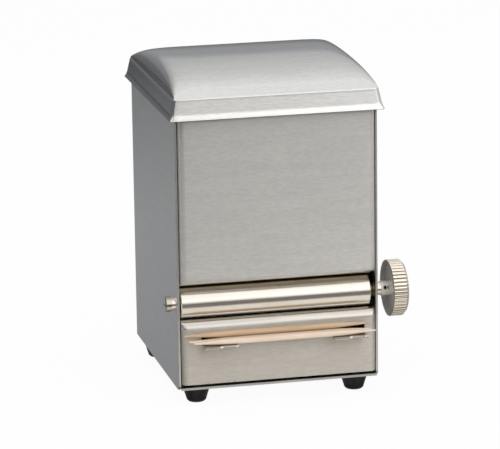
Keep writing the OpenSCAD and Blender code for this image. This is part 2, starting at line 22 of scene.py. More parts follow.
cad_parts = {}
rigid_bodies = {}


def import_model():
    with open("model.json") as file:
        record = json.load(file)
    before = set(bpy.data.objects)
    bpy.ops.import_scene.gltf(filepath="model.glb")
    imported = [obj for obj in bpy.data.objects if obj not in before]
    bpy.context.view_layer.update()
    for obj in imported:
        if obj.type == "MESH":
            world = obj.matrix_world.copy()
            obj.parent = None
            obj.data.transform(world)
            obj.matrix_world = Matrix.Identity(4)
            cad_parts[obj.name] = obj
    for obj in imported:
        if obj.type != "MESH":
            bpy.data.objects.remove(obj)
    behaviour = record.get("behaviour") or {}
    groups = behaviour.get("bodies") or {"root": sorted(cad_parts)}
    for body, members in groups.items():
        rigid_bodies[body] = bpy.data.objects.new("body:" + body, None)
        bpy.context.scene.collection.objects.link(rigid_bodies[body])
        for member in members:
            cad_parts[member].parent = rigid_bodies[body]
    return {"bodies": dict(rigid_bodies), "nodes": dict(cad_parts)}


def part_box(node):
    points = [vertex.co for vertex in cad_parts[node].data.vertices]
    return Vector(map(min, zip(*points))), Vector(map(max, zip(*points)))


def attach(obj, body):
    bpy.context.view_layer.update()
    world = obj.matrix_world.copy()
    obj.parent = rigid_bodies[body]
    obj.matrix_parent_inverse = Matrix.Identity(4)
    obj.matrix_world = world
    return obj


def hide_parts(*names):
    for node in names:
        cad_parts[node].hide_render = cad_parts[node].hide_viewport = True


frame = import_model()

MM = 0.001
LOG = logging.getLogger("dispenser")

Colour = tuple[float, float, float]
Point = tuple[float, float, float]
Flat = tuple[float, float]
Stop = tuple[float, float, float, float]
Faces = list[list[int]]


# ---- places and choices ----------------------------------------------------


@dataclass(frozen=True)
class Place:
    """Where the case stands in the frame, all in metres."""

    middle_x: float
    front_y: float
    width: float
    depth: float

    @classmethod
    def of_case(cls) -> "Place":
        """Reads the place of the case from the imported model.

        Returns:
            The place of the case.
        """
        low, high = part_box("case_wrap")
        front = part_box("upper_front_panel")[0].y
        return cls((low.x + high.x) / 2, front, high.x - low.x, high.y - front)

    def at(self, point: Point) -> Vector:
        """Turns a point of the case's millimetres into the frame's metres.

        Args:
            point: X from the case's middle, Y from its front, Z from the table.

        Returns:
            The same point in the frame.
        """
        x, y, z = point
        return Vector((self.middle_x + x * MM, self.front_y + y * MM, z * MM))


class Axis(Enum):
    """The direction in which a grain runs, or in which a place is read."""

    ACROSS = 0
    DEEP = 1
    UPRIGHT = 2


class Body(Enum):
    """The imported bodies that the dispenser's new pieces ride on."""

    CASE = "case"
    ROLLER = "roller"
    LID = "lid"
    PICK_REAR = "toothpick_rear"
    PICK_MIDDLE = "toothpick_middle"
    PICK_FRONT = "toothpick_front"


class Finish(Enum):
    """The finishes, by the names of their materials."""

    BRUSHED_CASE = "brushed_case"
    BRUSHED_FRONT = "brushed_front"
    BRUSHED_LIP = "brushed_lip"
    BRUSHED_LID = "brushed_lid"
    PLAIN_SHEET = "plain_sheet"
    PAINTED_GLOW_SHEET = "shaded_sheet"
    PAINTED_SHADE_STEEL = "oiled_steel"
    RECESS_GREY = "recess_grey"
    KNURL_VALLEY = "knurl_valley"
    NICKEL = "nickel"
    PAINTED_SHADE_NICKEL = "worn_nickel"
    SATIN_NICKEL = "satin_nickel"
    ZINC_STEEL = "zinc_steel"
    BLACK_STEEL = "black_steel"
    FOOT_RUBBER = "foot_rubber"
    TOOTHPICK_WOOD = "toothpick_wood"
    TOOTHPICK_WOOD_TAN = "toothpick_wood_tan"


# ---- shader toolkit --------------------------------------------------------


class Value:
    """A number from a node that takes part in Python arithmetic."""

    def __init__(self, recipe: "Recipe", socket: bpy.types.NodeSocket) -> None:
        """Wraps the output socket of a node in the recipe."""
        self.recipe = recipe
        self.socket = socket

    def _maths(self, operation: str, first: "Feed", second: "Feed") -> "Value":
        """Adds one Math node.

        Args:
            operation: The node's operation.
            first: The value of its first socket.
            second: The value of its second socket.

        Returns:
            The node's result.
        """
        made = self.recipe.node(
            "ShaderNodeMath", {"operation": operation}, {0: first, 1: second}
        )
        return Value(self.recipe, made.outputs[0])

    def __add__(self, other: "Feed") -> "Value":
        """Returns self + other."""
        return self._maths("ADD", self, other)

    def __radd__(self, other: float) -> "Value":
        """Returns other + self."""
        return self._maths("ADD", other, self)

    def __sub__(self, other: "Feed") -> "Value":
        """Returns self - other."""
        return self._maths("SUBTRACT", self, other)

    def __rsub__(self, other: float) -> "Value":
        """Returns other - self."""
        return self._maths("SUBTRACT", other, self)

    def __mul__(self, other: "Feed") -> "Value":
        """Returns self * other."""
        return self._maths("MULTIPLY", self, other)

    def __rmul__(self, other: float) -> "Value":
        """Returns other * self."""
        return self._maths("MULTIPLY", other, self)

    def ramp(self, start: float, end: float) -> "Value":
        """Rises smoothly from 0 to 1 as the value goes from start to end.

        Args:
            start: The value that gives 0.
            end: The value that gives 1.

        Returns:
            The smoothed value.
        """
        made = self.recipe.node(
            "ShaderNodeMapRange",
            {"interpolation_type": "SMOOTHSTEP"},
            {0: self, 1: start, 2: end},
        )
        return Value(self.recipe, made.outputs[0])


Feed = Value | bpy.types.NodeSocket | float | Sequence[float]
Sockets = dict[str | int, Feed]


@dataclass(frozen=True)
class Cloud:
    """A soft random pattern: features per metre on each axis, and finer layers."""

    scale: Point
    layers: float = 2.0


class Recipe:
    """The nodes of one material or world while it is written."""

    MIX_FIRST: ClassVar[int] = 6
    MIX_SECOND: ClassVar[int] = 7
    MIX_RESULT: ClassVar[int] = 2

    def __init__(self, tree: bpy.types.NodeTree) -> None:
        """Starts from an empty node tree."""
        self.tree = tree
        tree.nodes.clear()

    def node(
        self,
        kind: str,
        settings: dict[str, object] | None = None,
        sockets: Sockets | None = None,
    ) -> bpy.types.Node:
        """Adds a node.

        Args:
            kind: The node's type.
            settings: Its properties, which are set first.
            sockets: Values or links of its inputs, by name or number.

        Returns:
            The new node.
        """
        made = self.tree.nodes.new(kind)
        for key, value in (settings or {}).items():
            if key == "stops":
                self.set_stops(made.color_ramp.elements, value)
            else:
                setattr(made, key, value)
        for key, value in (sockets or {}).items():
            self.feed(made.inputs[key], value)
        return made

    def set_stops(
        self, elements: bpy.types.ColorRampElements, stops: Sequence[Stop]
    ) -> None:
        """Sets the stops of a colour ramp.

        Args:
            elements: The ramp's elements.
            stops: Each stop as its position, red, green and blue.
        """
        while len(elements) < len(stops):
            elements.new(1.0)
        for element, (position, *tone) in zip(elements, stops):
            element.position = position
            element.color = (*tone, 1.0)

    def feed(self, socket: bpy.types.NodeSocket, value: Feed) -> None:
        """Links or sets one input socket.

        Args:
            socket: The input.
            value: A wrapped value, an output socket, a number or a colour.
        """
        if isinstance(value, Value):
            self.tree.links.new(value.socket, socket)
        elif isinstance(value, bpy.types.NodeSocket):
            self.tree.links.new(value, socket)
        elif isinstance(value, (int, float)):
            socket.default_value = value
        elif len(value) == len(socket.default_value):
            socket.default_value = tuple(value)
        else:
            socket.default_value = (*value, 1.0)

    def along(self, axis: Axis) -> Value:
        """Gives the place on the object along one axis.

        Args:
            axis: The axis.

        Returns:
            The place, in metres.
        """
        where = self.node("ShaderNodeTexCoord").outputs["Object"]
        split = self.node("ShaderNodeSeparateXYZ", None, {0: where})
        return Value(self, split.outputs[axis.value])

    def cloud(self, pattern: Cloud) -> Value:
        """Gives a random value, about 0.5 on average.

        Args:
            pattern: The pattern.

        Returns:
            The value, from 0 to 1.
        """
        where = self.node("ShaderNodeTexCoord").outputs["Object"]
        stretched = self.node(
            "ShaderNodeVectorMath",
            {"operation": "MULTIPLY"},
            {0: where, 1: pattern.scale},
        ).outputs[0]
        made = self.node(
            "ShaderNodeTexNoise",
            {"noise_dimensions": "3D"},
            {"Vector": stretched, "Scale": 1.0, "Detail": pattern.layers},
        )
        return Value(self, made.outputs[0])

    def blend(self, share: Feed, first: Feed, second: Feed) -> bpy.types.NodeSocket:
        """Mixes two colours.

        Args:
            share: The share of the second colour.
            first: The colour at 0.
            second: The colour at 1.

        Returns:
            The mixed colour.
        """
        return self.node(
            "ShaderNodeMix",
            {"data_type": "RGBA"},
            {"Factor": share, self.MIX_FIRST: first, self.MIX_SECOND: second},
        ).outputs[self.MIX_RESULT]

    def bump(self, height: Feed, depth: float, strength: float) -> bpy.types.NodeSocket:
        """Turns a height into a normal.

        Args:
            height: The height, from 0 to 1.
            depth: What a height of 1 stands for, in metres.
            strength: How much of it shows.

        Returns:
            The bumped normal.
        """
        return self.node(
            "ShaderNodeBump",
            None,
            {"Height": height, "Distance": depth, "Strength": strength},
        ).outputs[0]


def new_material(name: str) -> tuple[bpy.types.Material, Recipe]:
    """Makes an empty material.

    Args:
        name: The material's name.

    Returns:
        The material and the recipe of its nodes.
    """
    material = bpy.data.materials.new(name)
    material.use_nodes = True
    return material, Recipe(material.node_tree)


# ---- finishes --------------------------------------------------------------


@dataclass(frozen=True)
class Surface:
    """A finish of the dispenser, made with one Principled shader."""

    finish: Finish

    def sockets(self, recipe: Recipe) -> Sockets:
        """Works out the shader's sockets, which each kind of finish does its way.

        Args:
            recipe: The material's nodes.

        Returns:
            Values or links of the shader's inputs.
        """
        raise NotImplementedError

    def build(self) -> bpy.types.Material:
        """Builds the material.

        Returns:
            The material, under the finish's name.
        """
        material, recipe = new_material(self.finish.value)
        shader = recipe.node("ShaderNodeBsdfPrincipled", None, self.sockets(recipe))
        recipe.node("ShaderNodeOutputMaterial", None, {"Surface": shader.outputs[0]})
        return material


@dataclass(frozen=True)
class Burnish:
    """Where the press has rubbed a sheet smooth: its rolled lip and its tabs, which
    also take the sheet's dark colour as painted shade that dims their highlight.

    The lip lies above one height, and the tabs lie before the sheet's front face.
    """

    above: float
    before: float
    lip_fade: float = 0.9 * MM
    tab_edge: Flat = (0.1 * MM, 0.7 * MM)
    roughness: float = 0.25
    smoothing: float = 0.7

    def share(self, recipe: Recipe) -> Value:
        """Gives how far the sheet is burnished.

        Args:
            recipe: The material's nodes.

        Returns:
            0 on the plain face, 1 on the lip and on the tabs.
        """
        upright = recipe.along(Axis.UPRIGHT)
        lip = upright.ramp(self.above, self.above + self.lip_fade)
        tabs = (self.before - recipe.along(Axis.DEEP)).ramp(*self.tab_edge)
        return lip + tabs - lip * tabs


@dataclass(frozen=True)
class BrushedSteel(Surface):
    """Stainless sheet with a short brushed grain that runs one way.

    A grain's pair of numbers is its streaks per metre of length and of width.
    """

    light: Colour = (0.73, 0.72, 0.695)
    dark: Colour = (0.61, 0.603, 0.585)
    roughness: float = 0.33
    grain: Axis = Axis.ACROSS
    stretch: float = 0.6
    turn: float = 0.25
    burnish: Burnish | None = None
    fine: Flat = (420, 1500)
    broad: Flat = (45, 420)
    layers: float = 3.0
    smudges: Cloud = Cloud((26, 26, 26), 3.0)
    contrast: Flat = (0.3, 0.7)
    fine_tone: float = 0.5
    broad_tone: float = 0.25
    smudge_tone: float = 0.4
    fine_rough: float = 0.08
    smudge_rough: float = 0.06
    mean_rough: float = 0.07
    broad_height: float = 0.4
    depth: float = 0.014 * MM

    def streaks(self, recipe: Recipe, counts: Flat) -> Value:
        """Gives thin streaks.

        Args:
            recipe: The material's nodes.
            counts: Streaks per metre of length and of width.

        Returns:
            The streaks, from 0 to 1.
        """
        along, across = counts
        scale = [across] * 3
        scale[self.grain.value] = along
        return recipe.cloud(Cloud(tuple(scale), self.layers))

    def sockets(self, recipe: Recipe) -> Sockets:
        """Works out the shader's sockets.

        Args:
            recipe: The material's nodes.

        Returns:
            Values or links of the shader's inputs.
        """
        fine = self.streaks(recipe, self.fine)
        broad = self.streaks(recipe, self.broad)
        smudge = recipe.cloud(self.smudges)
        tone = fine.ramp(*self.contrast) * self.fine_tone
        tone = tone + broad.ramp(*self.contrast) * self.broad_tone
        tone = tone + smudge * self.smudge_tone
        rough = self.roughness + fine * self.fine_rough
        rough = rough + smudge * self.smudge_rough - self.mean_rough
        height = fine + broad * self.broad_height
        if self.burnish:
            share = self.burnish.share(recipe)
            rough = rough * (1 - share) + share * self.burnish.roughness
            height = height * (1 - share * self.burnish.smoothing)
            # On the lip and the tabs the steel takes its dark colour: painted shade,
            # dimming their highlight.
            tone = tone * (1 - share)
        return {
            "Base Color": recipe.blend(tone, self.dark, self.light),
            "Metallic": 1.0,
            "Roughness": rough,
            "Anisotropic": self.stretch,
            "Anisotropic Rotation": self.turn,
            "Normal": recipe.bump(height, self.depth, 1.0),
        }


@dataclass(frozen=True)
class NickelPlate(Surface):
    """Nickel plate: a warm mirror with a yellowed haze and fine dull specks."""

    tint: Colour = (0.82, 0.775, 0.70)
    roughness: float = 0.13
    metallic: float = 0.86
    yellowing: Colour = (0.92, 0.86, 0.76)
    haze: Cloud = Cloud((90, 260, 260), 4.0)
    stained: Flat = (0.45, 0.8)
    dulled: Flat = (0.4, 0.8)
    specks: Cloud = Cloud((700, 700, 700))
    speck_edge: Flat = (0.68, 0.76)
    stain_tone: float = 0.5
    speck_tone: float = 0.5
    haze_rough: float = 0.06
    speck_rough: float = 0.08
    depth: float = 0.03 * MM
    strength: float = 0.5

    def sockets(self, recipe: Recipe) -> Sockets:
        """Works out the shader's sockets.

        Args:
            recipe: The material's nodes.

        Returns:
            Values or links of the shader's inputs.
        """
        haze = recipe.cloud(self.haze)
        specks = recipe.cloud(self.specks).ramp(*self.speck_edge)
        yellowed = tuple(c * s for c, s in zip(self.tint, self.yellowing))
        tone = haze.ramp(*self.stained) * self.stain_tone + specks * self.speck_tone
        rough = self.roughness + haze.ramp(*self.dulled) * self.haze_rough
        return {
            "Base Color": recipe.blend(tone, self.tint, yellowed),
            "Metallic": self.metallic,
            "Roughness": rough + specks * self.speck_rough,
            "Normal": recipe.bump(haze, self.depth, self.strength),
        }


@dataclass(frozen=True)
class PlainSteel(Surface):
    """Unpolished, plated or painted steel with a fine mottled bloom; its near-black
    copies are painted shade, and a glow is painted light.
    """

    light: Colour = (0.60, 0.60, 0.59)
    dark: Colour = (0.46, 0.46, 0.46)
    roughness: float = 0.38
    metallic: float = 1.0
    glow: float = 0.0
    bloom: Cloud = Cloud((130, 130, 130), 4.0)
    contrast: Flat = (0.3, 0.7)
    bloom_rough: float = 0.16
    mean_rough: float = 0.08
    tooth: Cloud = Cloud((1500, 1500, 1500))
    depth: float = 0.02 * MM
    strength: float = 0.5

    def sockets(self, recipe: Recipe) -> Sockets:
        """Works out the shader's sockets.

        Args:
            recipe: The material's nodes.

        Returns:
            Values or links of the shader's inputs.
        """
        bloom = recipe.cloud(self.bloom)
        tooth = recipe.cloud(self.tooth)
        tone = recipe.blend(bloom.ramp(*self.contrast), self.dark, self.light)
        sockets: Sockets = {
            "Base Color": tone,
            "Metallic": self.metallic,
            "Roughness": self.roughness + bloom * self.bloom_rough - self.mean_rough,
            "Normal": recipe.bump(tooth, self.depth, self.strength),
        }
        # A glow is painted light: the sheet shines by itself, though it is no lamp.
        if self.glow:
            sockets.update({"Emission Color": tone, "Emission Strength": self.glow})
        return sockets


@dataclass(frozen=True)
class MouldedRubber(Surface):
    """Black rubber, matt, with a faint dusty bloom."""

    black: Colour = (0.012, 0.012, 0.013)
    dusty: Colour = (0.030, 0.030, 0.032)
    roughness: float = 0.42
    gloss: float = 0.4
    dust: Cloud = Cloud((260, 260, 260), 4.0)
    settled: Flat = (0.45, 0.75)
    dust_rough: float = 0.2
    pores: Cloud = Cloud((2200, 2200, 2200))
    depth: float = 0.03 * MM
    strength: float = 0.6

    def sockets(self, recipe: Recipe) -> Sockets:
        """Works out the shader's sockets.

        Args:
            recipe: The material's nodes.

        Returns:
            Values or links of the shader's inputs.
        """
        dust = recipe.cloud(self.dust)
        pores = recipe.cloud(self.pores)
        return {
            "Base Color": recipe.blend(
                dust.ramp(*self.settled), self.black, self.dusty
            ),
            "Roughness": self.roughness + dust * self.dust_rough,
            "Specular IOR Level": self.gloss,
            "Normal": recipe.bump(pores, self.depth, self.strength),
        }


@dataclass(frozen=True)
class BirchWood(Surface):
    """Turned birch with its fibres lengthways."""

    pale: Colour = (0.83, 0.70, 0.575)
    fibre: Colour = (0.66, 0.48, 0.32)
    amount: float = 0.5
    roughness: float = 0.55
    gloss: float = 0.3
    fibres: Cloud = Cloud((70, 2600, 2600), 4.0)
    fibre_edge: Flat = (0.35, 0.75)
    flecks: Cloud = Cloud((380, 3000, 3000))
    fleck_edge: Flat = (0.6, 0.72)
    stain: Cloud = Cloud((45, 300, 300))
    stain_edge: Flat = (0.35, 0.7)
    stain_tone: float = 0.25
    fleck_tone: float = 0.2
    fibre_rough: float = 0.2
    fleck_height: float = 0.5
    depth: float = 0.06 * MM
    strength: float = 0.7

    def sockets(self, recipe: Recipe) -> Sockets:
        """Works out the shader's sockets.

        Args:
            recipe: The material's nodes.

        Returns:
            Values or links of the shader's inputs.
        """
        fibres = recipe.cloud(self.fibres)
        flecks = recipe.cloud(self.flecks).ramp(*self.fleck_edge)
        stain = recipe.cloud(self.stain)
        tone = fibres.ramp(*self.fibre_edge) * self.amount
        tone = tone + stain.ramp(*self.stain_edge) * self.stain_tone
        height = fibres + flecks * self.fleck_height
        return {
            "Base Color": recipe.blend(
                tone + flecks * self.fleck_tone, self.pale, self.fibre
            ),
            "Roughness": self.roughness + fibres * self.fibre_rough,
            "Specular IOR Level": self.gloss,
            "Normal": recipe.bump(height, self.depth, self.strength),
        }


@dataclass
class Finishes:
    """Every material of the dispenser, made once."""

    made: dict[Finish, bpy.types.Material] = field(default_factory=dict)

    def prepare(self, burnish: Burnish) -> None:
        """Makes the materials.

        Args:
            burnish: Where the lower panel is rubbed smooth.
        """
        for surface in (
            BrushedSteel(
                Finish.BRUSHED_CASE, roughness=0.36, stretch=0.7, grain=Axis.DEEP
            ),
            # The upper panel's colours are set lighter than the lower panel's: painted
            # light, brightening it.
            BrushedSteel(
                Finish.BRUSHED_FRONT,
                light=(0.87, 0.855, 0.83),
                dark=(0.73, 0.72, 0.705),
                roughness=0.52,
                stretch=0.85,
            ),
            # A darker, warmer copy of the front's steel for the lower panel: painted
            # shade, standing in for the shaded table it mirrors.
            BrushedSteel(
                Finish.BRUSHED_LIP,
                light=(0.75, 0.715, 0.665),
                dark=(0.63, 0.595, 0.55),
                roughness=0.52,
                stretch=0.85,
                burnish=burnish,
            ),
            BrushedSteel(
                Finish.BRUSHED_LID,
                light=(0.70, 0.70, 0.69),
                dark=(0.60, 0.60, 0.595),
                roughness=0.14,
                stretch=0.0,
            ),
            PlainSteel(Finish.PLAIN_SHEET),
            # The front guide's warm brown glow is painted light: it shines by itself so
            # that the roller's top mirrors a lit interior.
            PlainSteel(
                Finish.PAINTED_GLOW_SHEET,
                light=(0.62, 0.52, 0.38),
                dark=(0.46, 0.38, 0.27),
                roughness=0.45,
                metallic=0.4,
                glow=0.16,
            ),
            # A near-black copy of the plain steel for the right bushing and the washer:
            # painted shade, for the dark gap they sit in.
            PlainSteel(
                Finish.PAINTED_SHADE_STEEL,
                light=(0.20, 0.15, 0.10),
                dark=(0.09, 0.065, 0.04),
                roughness=0.34,
            ),
            PlainSteel(
                Finish.RECESS_GREY,
                light=(0.48, 0.47, 0.455),
                dark=(0.42, 0.41, 0.395),
                roughness=0.6,
                metallic=0.0,
            ),
            PlainSteel(
                Finish.KNURL_VALLEY,
                light=(0.56, 0.45, 0.33),
                dark=(0.36, 0.28, 0.19),
                roughness=0.4,
            ),
            PlainSteel(
                Finish.ZINC_STEEL,
                light=(0.66, 0.66, 0.64),
                dark=(0.52, 0.52, 0.51),
                roughness=0.30,
            ),
            PlainSteel(
                Finish.BLACK_STEEL,
                light=(0.035, 0.035, 0.037),
                dark=(0.02, 0.02, 0.02),
                roughness=0.4,
            ),
            NickelPlate(Finish.NICKEL),
            # A darker copy of the nickel for the end cap: painted shade, standing in
            # for the dark that it mirrors.
            NickelPlate(
                Finish.PAINTED_SHADE_NICKEL,
                tint=(0.58, 0.53, 0.46),
                roughness=0.07,
                metallic=0.97,
            ),
            NickelPlate(
                Finish.SATIN_NICKEL,
                tint=(0.80, 0.75, 0.67),
                roughness=0.28,
                metallic=0.4,
            ),
            MouldedRubber(Finish.FOOT_RUBBER),
            BirchWood(Finish.TOOTHPICK_WOOD),
            BirchWood(
                Finish.TOOTHPICK_WOOD_TAN,
                pale=(0.65, 0.47, 0.32),
                fibre=(0.46, 0.30, 0.17),
                amount=0.55,
            ),
        ):
            self.made[surface.finish] = surface.build()

    def dress(self, piece: bpy.types.Object, finish: Finish) -> None:
        """Gives a piece one finish all over.

        Args:
            piece: The object.
            finish: Its finish.
        """
        if not piece.data.materials:
            piece.data.materials.append(self.made[finish])
        for slot in piece.material_slots:
            slot.material = self.made[finish]


# ---- mesh toolkit ----------------------------------------------------------


def spread(start: float, end: float, steps: int) -> list[float]:
    """Returns evenly spaced numbers from start to end, both among them."""
    return [start + (end - start) * i / steps for i in range(steps + 1)]


def arc(
    centre: Flat, radius: float, start: float, end: float, steps: int
) -> list[Flat]:
    """Walks along an arc.

    Args:
        centre: The arc's centre.
        radius: Its radius.
        start: Its first angle, in degrees.
        end: Its last angle, in degrees.
        steps: How many straight steps it takes.

    Returns:
        The points, both ends among them.
    """
    turns = [math.radians(turn) for turn in spread(start, end, steps)]
    return [
        (centre[0] + radius * math.cos(a), centre[1] + radius * math.sin(a))
        for a in turns
    ]


def part_way(first: Flat, second: Flat, share: float) -> Flat:
    """Finds a point on the straight line between two others.

    Args:
        first: The point at 0.
        second: The point at 1.
        share: How far along the line it lies.

    Returns:
        The point.
    """
    return (
        first[0] + (second[0] - first[0]) * share,
        first[1] + (second[1] - first[1]) * share,
    )


def hoops(rows: int, around: int) -> Faces:
    """Joins closed rings of points into faces, each ring to the next.

    Args:
        rows: How many rings there are.
        around: How many points each has.

    Returns:
        The faces, as numbers of points.
    """
    return [
        [
            i * around + k,
            i * around + (k + 1) % around,
            (i + 1) * around + (k + 1) % around,
            (i + 1) * around + k,
        ]
        for i in range(rows - 1)
        for k in range(around)
    ]


def ends(rows: int, around: int) -> Faces:
    """Closes the first and the last of some rings of points.

    Args:
        rows: How many rings there are.
        around: How many points each has.

    Returns:
        Two faces, as numbers of points.
    """
    last = (rows - 1) * around
    return [list(range(around - 1, -1, -1)), list(range(last, last + around))]


@dataclass
class Maker:
    """Turns points into finished pieces that ride on the frame."""

    place: Place
    finishes: Finishes
    weld: float = 0.002
    bevel_steps: int = 2
    bevel_from: float = math.radians(40)

    def mesh(
        self, name: str, points: Iterable[Point], faces: Iterable[Sequence[int]]
    ) -> bpy.types.Object:
        """Makes a mesh object from points in the case's millimetres.

        Args:
            name: The object's name.
            points: Its points.
            faces: Its faces, as numbers of points.

        Returns:
            The object, linked to the scene.
        """
        data = bpy.data.meshes.new(name)
        spots = [self.place.at(point) for point in points]
        data.from_pydata(spots, [], [list(face) for face in faces])
        work = bmesh.new()
        work.from_mesh(data)
        bmesh.ops.remove_doubles(work, verts=work.verts, dist=self.weld * MM)
        loose = [v for v in work.verts if not v.link_faces]
        bmesh.ops.delete(work, geom=loose, context="VERTS")
        work.to_mesh(data)
        work.free()
        piece = bpy.data.objects.new(name, data)
        bpy.context.scene.collection.objects.link(piece)
        return piece

    def sheet(
        self,
        name: str,
        points: Iterable[Point],
        faces: Iterable[Sequence[int]],
        thickness: float,
        edge: float,
    ) -> bpy.types.Object:
        """Makes a pressed sheet from its outer side.

        Args:
            name: The object's name.
            points: The points of its outer side.
            faces: The faces of its outer side.
            thickness: The sheet's thickness, in millimetres.
            edge: How far its cut edges are rounded, in millimetres.

        Returns:
            The object, settled.
        """
        piece = self.mesh(name, points, faces)
        solid = piece.modifiers.new("thickness", "SOLIDIFY")
        solid.thickness = thickness * MM
        solid.offset = -1.0
        solid.use_even_offset = True
        bevel = piece.modifiers.new("soft_edges", "BEVEL")
        bevel.width = edge * MM
        bevel.segments = self.bevel_steps
        bevel.limit_method = "ANGLE"
        bevel.angle_limit = self.bevel_from
        self.settle(piece)
        return piece

    def settle(self, piece: bpy.types.Object) -> None:
        """Applies the modifiers and shades the piece smooth between sharp edges.

        Args:
            piece: The object.
        """
        weighted = piece.modifiers.new("even_shading", "WEIGHTED_NORMAL")
        weighted.keep_sharp = True
        smooth = [True] * len(piece.data.polygons)
        piece.data.polygons.foreach_set("use_smooth", smooth)
        shaper = bpy.context.evaluated_depsgraph_get()
        settled = bpy.data.meshes.new_from_object(piece.evaluated_get(shaper))
        piece.modifiers.clear()
        piece.data = settled

    def deliver(
        self,
        piece: bpy.types.Object,
        body: Body,
        finish: Finish,
        slot: Finish,
        replaced: str,
    ) -> bpy.types.Object:
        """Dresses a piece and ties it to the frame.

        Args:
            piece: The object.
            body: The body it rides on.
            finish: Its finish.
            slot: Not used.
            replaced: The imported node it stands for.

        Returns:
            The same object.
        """
        self.finishes.dress(piece, finish)
        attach(piece, body.value)
        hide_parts(replaced)
        LOG.info("%s: %d faces", piece.name, len(piece.data.polygons))
        return piece


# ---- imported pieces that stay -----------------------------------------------


class PackedGroup:
    """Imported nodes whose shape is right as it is, each with its finish."""

    finish_of: ClassVar[dict[str, Finish]] = {}

    def dress(self, finishes: Finishes) -> None:
        """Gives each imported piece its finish.

        Args:
            finishes: The materials.
        """
        for node, finish in self.finish_of.items():
            finishes.dress(frame["nodes"][node], finish)
            LOG.info("%s: packed, %s", node, finish.value)


class CaseShell(PackedGroup):
    """The folded case with its floor tray."""

    finish_of = {
        "case_wrap": Finish.BRUSHED_CASE,
        "base_plate": Finish.PLAIN_SHEET,
    }


class Hopper(PackedGroup):
    """The sheets that lead the toothpicks to the roller."""

    finish_of = {
        "hopper_ramp": Finish.PLAIN_SHEET,
        # The front guide glows warm brown by itself: painted light.
        "front_guide": Finish.PAINTED_GLOW_SHEET,
    }


class Feet(PackedGroup):
    """The rubber feet with their screws and nuts."""

    finish_of = {
        "foot_front_left": Finish.FOOT_RUBBER,
        "foot_front_right": Finish.FOOT_RUBBER,
        "foot_rear_left": Finish.FOOT_RUBBER,
        "foot_rear_right": Finish.FOOT_RUBBER,
        "foot_screws": Finish.ZINC_STEEL,
        "foot_nuts": Finish.ZINC_STEEL,
    }


class RollerDrive(PackedGroup):
    """The roller on its axle, with the bushings that it runs in."""

    finish_of = {
        "bushing_left": Finish.NICKEL,
        # The right bushing and the thrust washer take near-black steel as painted
        # shade.
        "bushing_right": Finish.PAINTED_SHADE_STEEL,
        "roller": Finish.NICKEL,
        "axle": Finish.ZINC_STEEL,
        "thrust_washer": Finish.PAINTED_SHADE_STEEL,
        # The end cap takes the darkened nickel as painted shade.
        "end_cap": Finish.PAINTED_SHADE_NICKEL,
        "knob_set_screw": Finish.BLACK_STEEL,
    }


# ---- front panels ----------------------------------------------------------


@dataclass(frozen=True)
class PressedTab:
    """One tab pressed out of the lower panel, with a lip turned up at its right."""

    width: float = 11.9
    reach: float = 5.2
    under: float = 21.05
    slot: float = 3.6
    root: float = 0.3
    lip_from: float = 5.4
    lip_fade: float = 2.0
    lip_height: float = 0.8
    lip_bend: float = 0.88
    columns: int = 30
    bend_steps: int = 4
    lip_steps: int = 10

    @property
    def slot_low(self) -> float:
        """The height of its slot's lower edge."""
        return self.under - self.root

    @property
    def slot_high(self) -> float:
        """The height of its slot's upper edge."""
        return self.under + self.slot

    def path(self, lifted: float) -> list[Flat]:
        """Walks along its underside, from the panel out to its end.

        Args:
            lifted: How far its lip is turned up, from 0 to 1.

        Returns:
            Points as Y and Z.
        """
        root = arc((-self.root, self.slot_low), self.root, 0, 90, self.bend_steps)
        tip = -self.reach
        curl = math.acos(1 - self.lip_height / self.lip_bend)
        start = tip + self.lip_bend * math.sin(curl)
        centre = (start, self.under + self.lip_bend)
        turned = arc(
            centre, self.lip_bend, 270, 270 - math.degrees(curl), self.lip_steps
        )
        straight = [(y, self.under) for y in spread(start, tip, self.lip_steps)]
        inner = spread(-self.root, start, self.bend_steps)[1:-1]
        shelf = [(y, self.under) for y in inner]
        outer = [part_way(a, b, lifted) for a, b in zip(straight, turned)]
        return root + shelf + outer

    def lift(self, along: float) -> float:
        """Gives how far its lip is turned up, which leaves its corners flat.

        Args:
            along: The distance from its left edge.

        Returns:
            The lift, from 0 to 1.
        """
        rise = min(max((along - self.lip_from) / self.lip_fade, 0.0), 1.0)
        fall = min(max((self.width - along) / self.lip_fade, 0.0), 1.0)
        return rise * rise * (3 - 2 * rise) * fall * fall * (3 - 2 * fall)

    def stops(self, middle: float) -> list[float]:
        """Returns its columns, from left to right, about its middle's X."""
        return spread(middle - self.width / 2, middle + self.width / 2, self.columns)

    def surface(self, middle: float) -> tuple[list[Point], Faces]:
        """Makes its underside.

        Args:
            middle: The X of its middle.

        Returns:
            Points and faces.
        """
        stops = self.stops(middle)
        points: list[Point] = []
        for x in stops:
            lifted = self.lift(x - middle + self.width / 2)
            points += [(x, y, z) for y, z in self.path(lifted)]
        long = len(points) // len(stops)
        faces = [
            [
                i * long + j,
                (i + 1) * long + j,
                (i + 1) * long + j + 1,
                i * long + j + 1,
            ]
            for i in range(len(stops) - 1)
            for j in range(long - 1)
        ]
        return points, faces


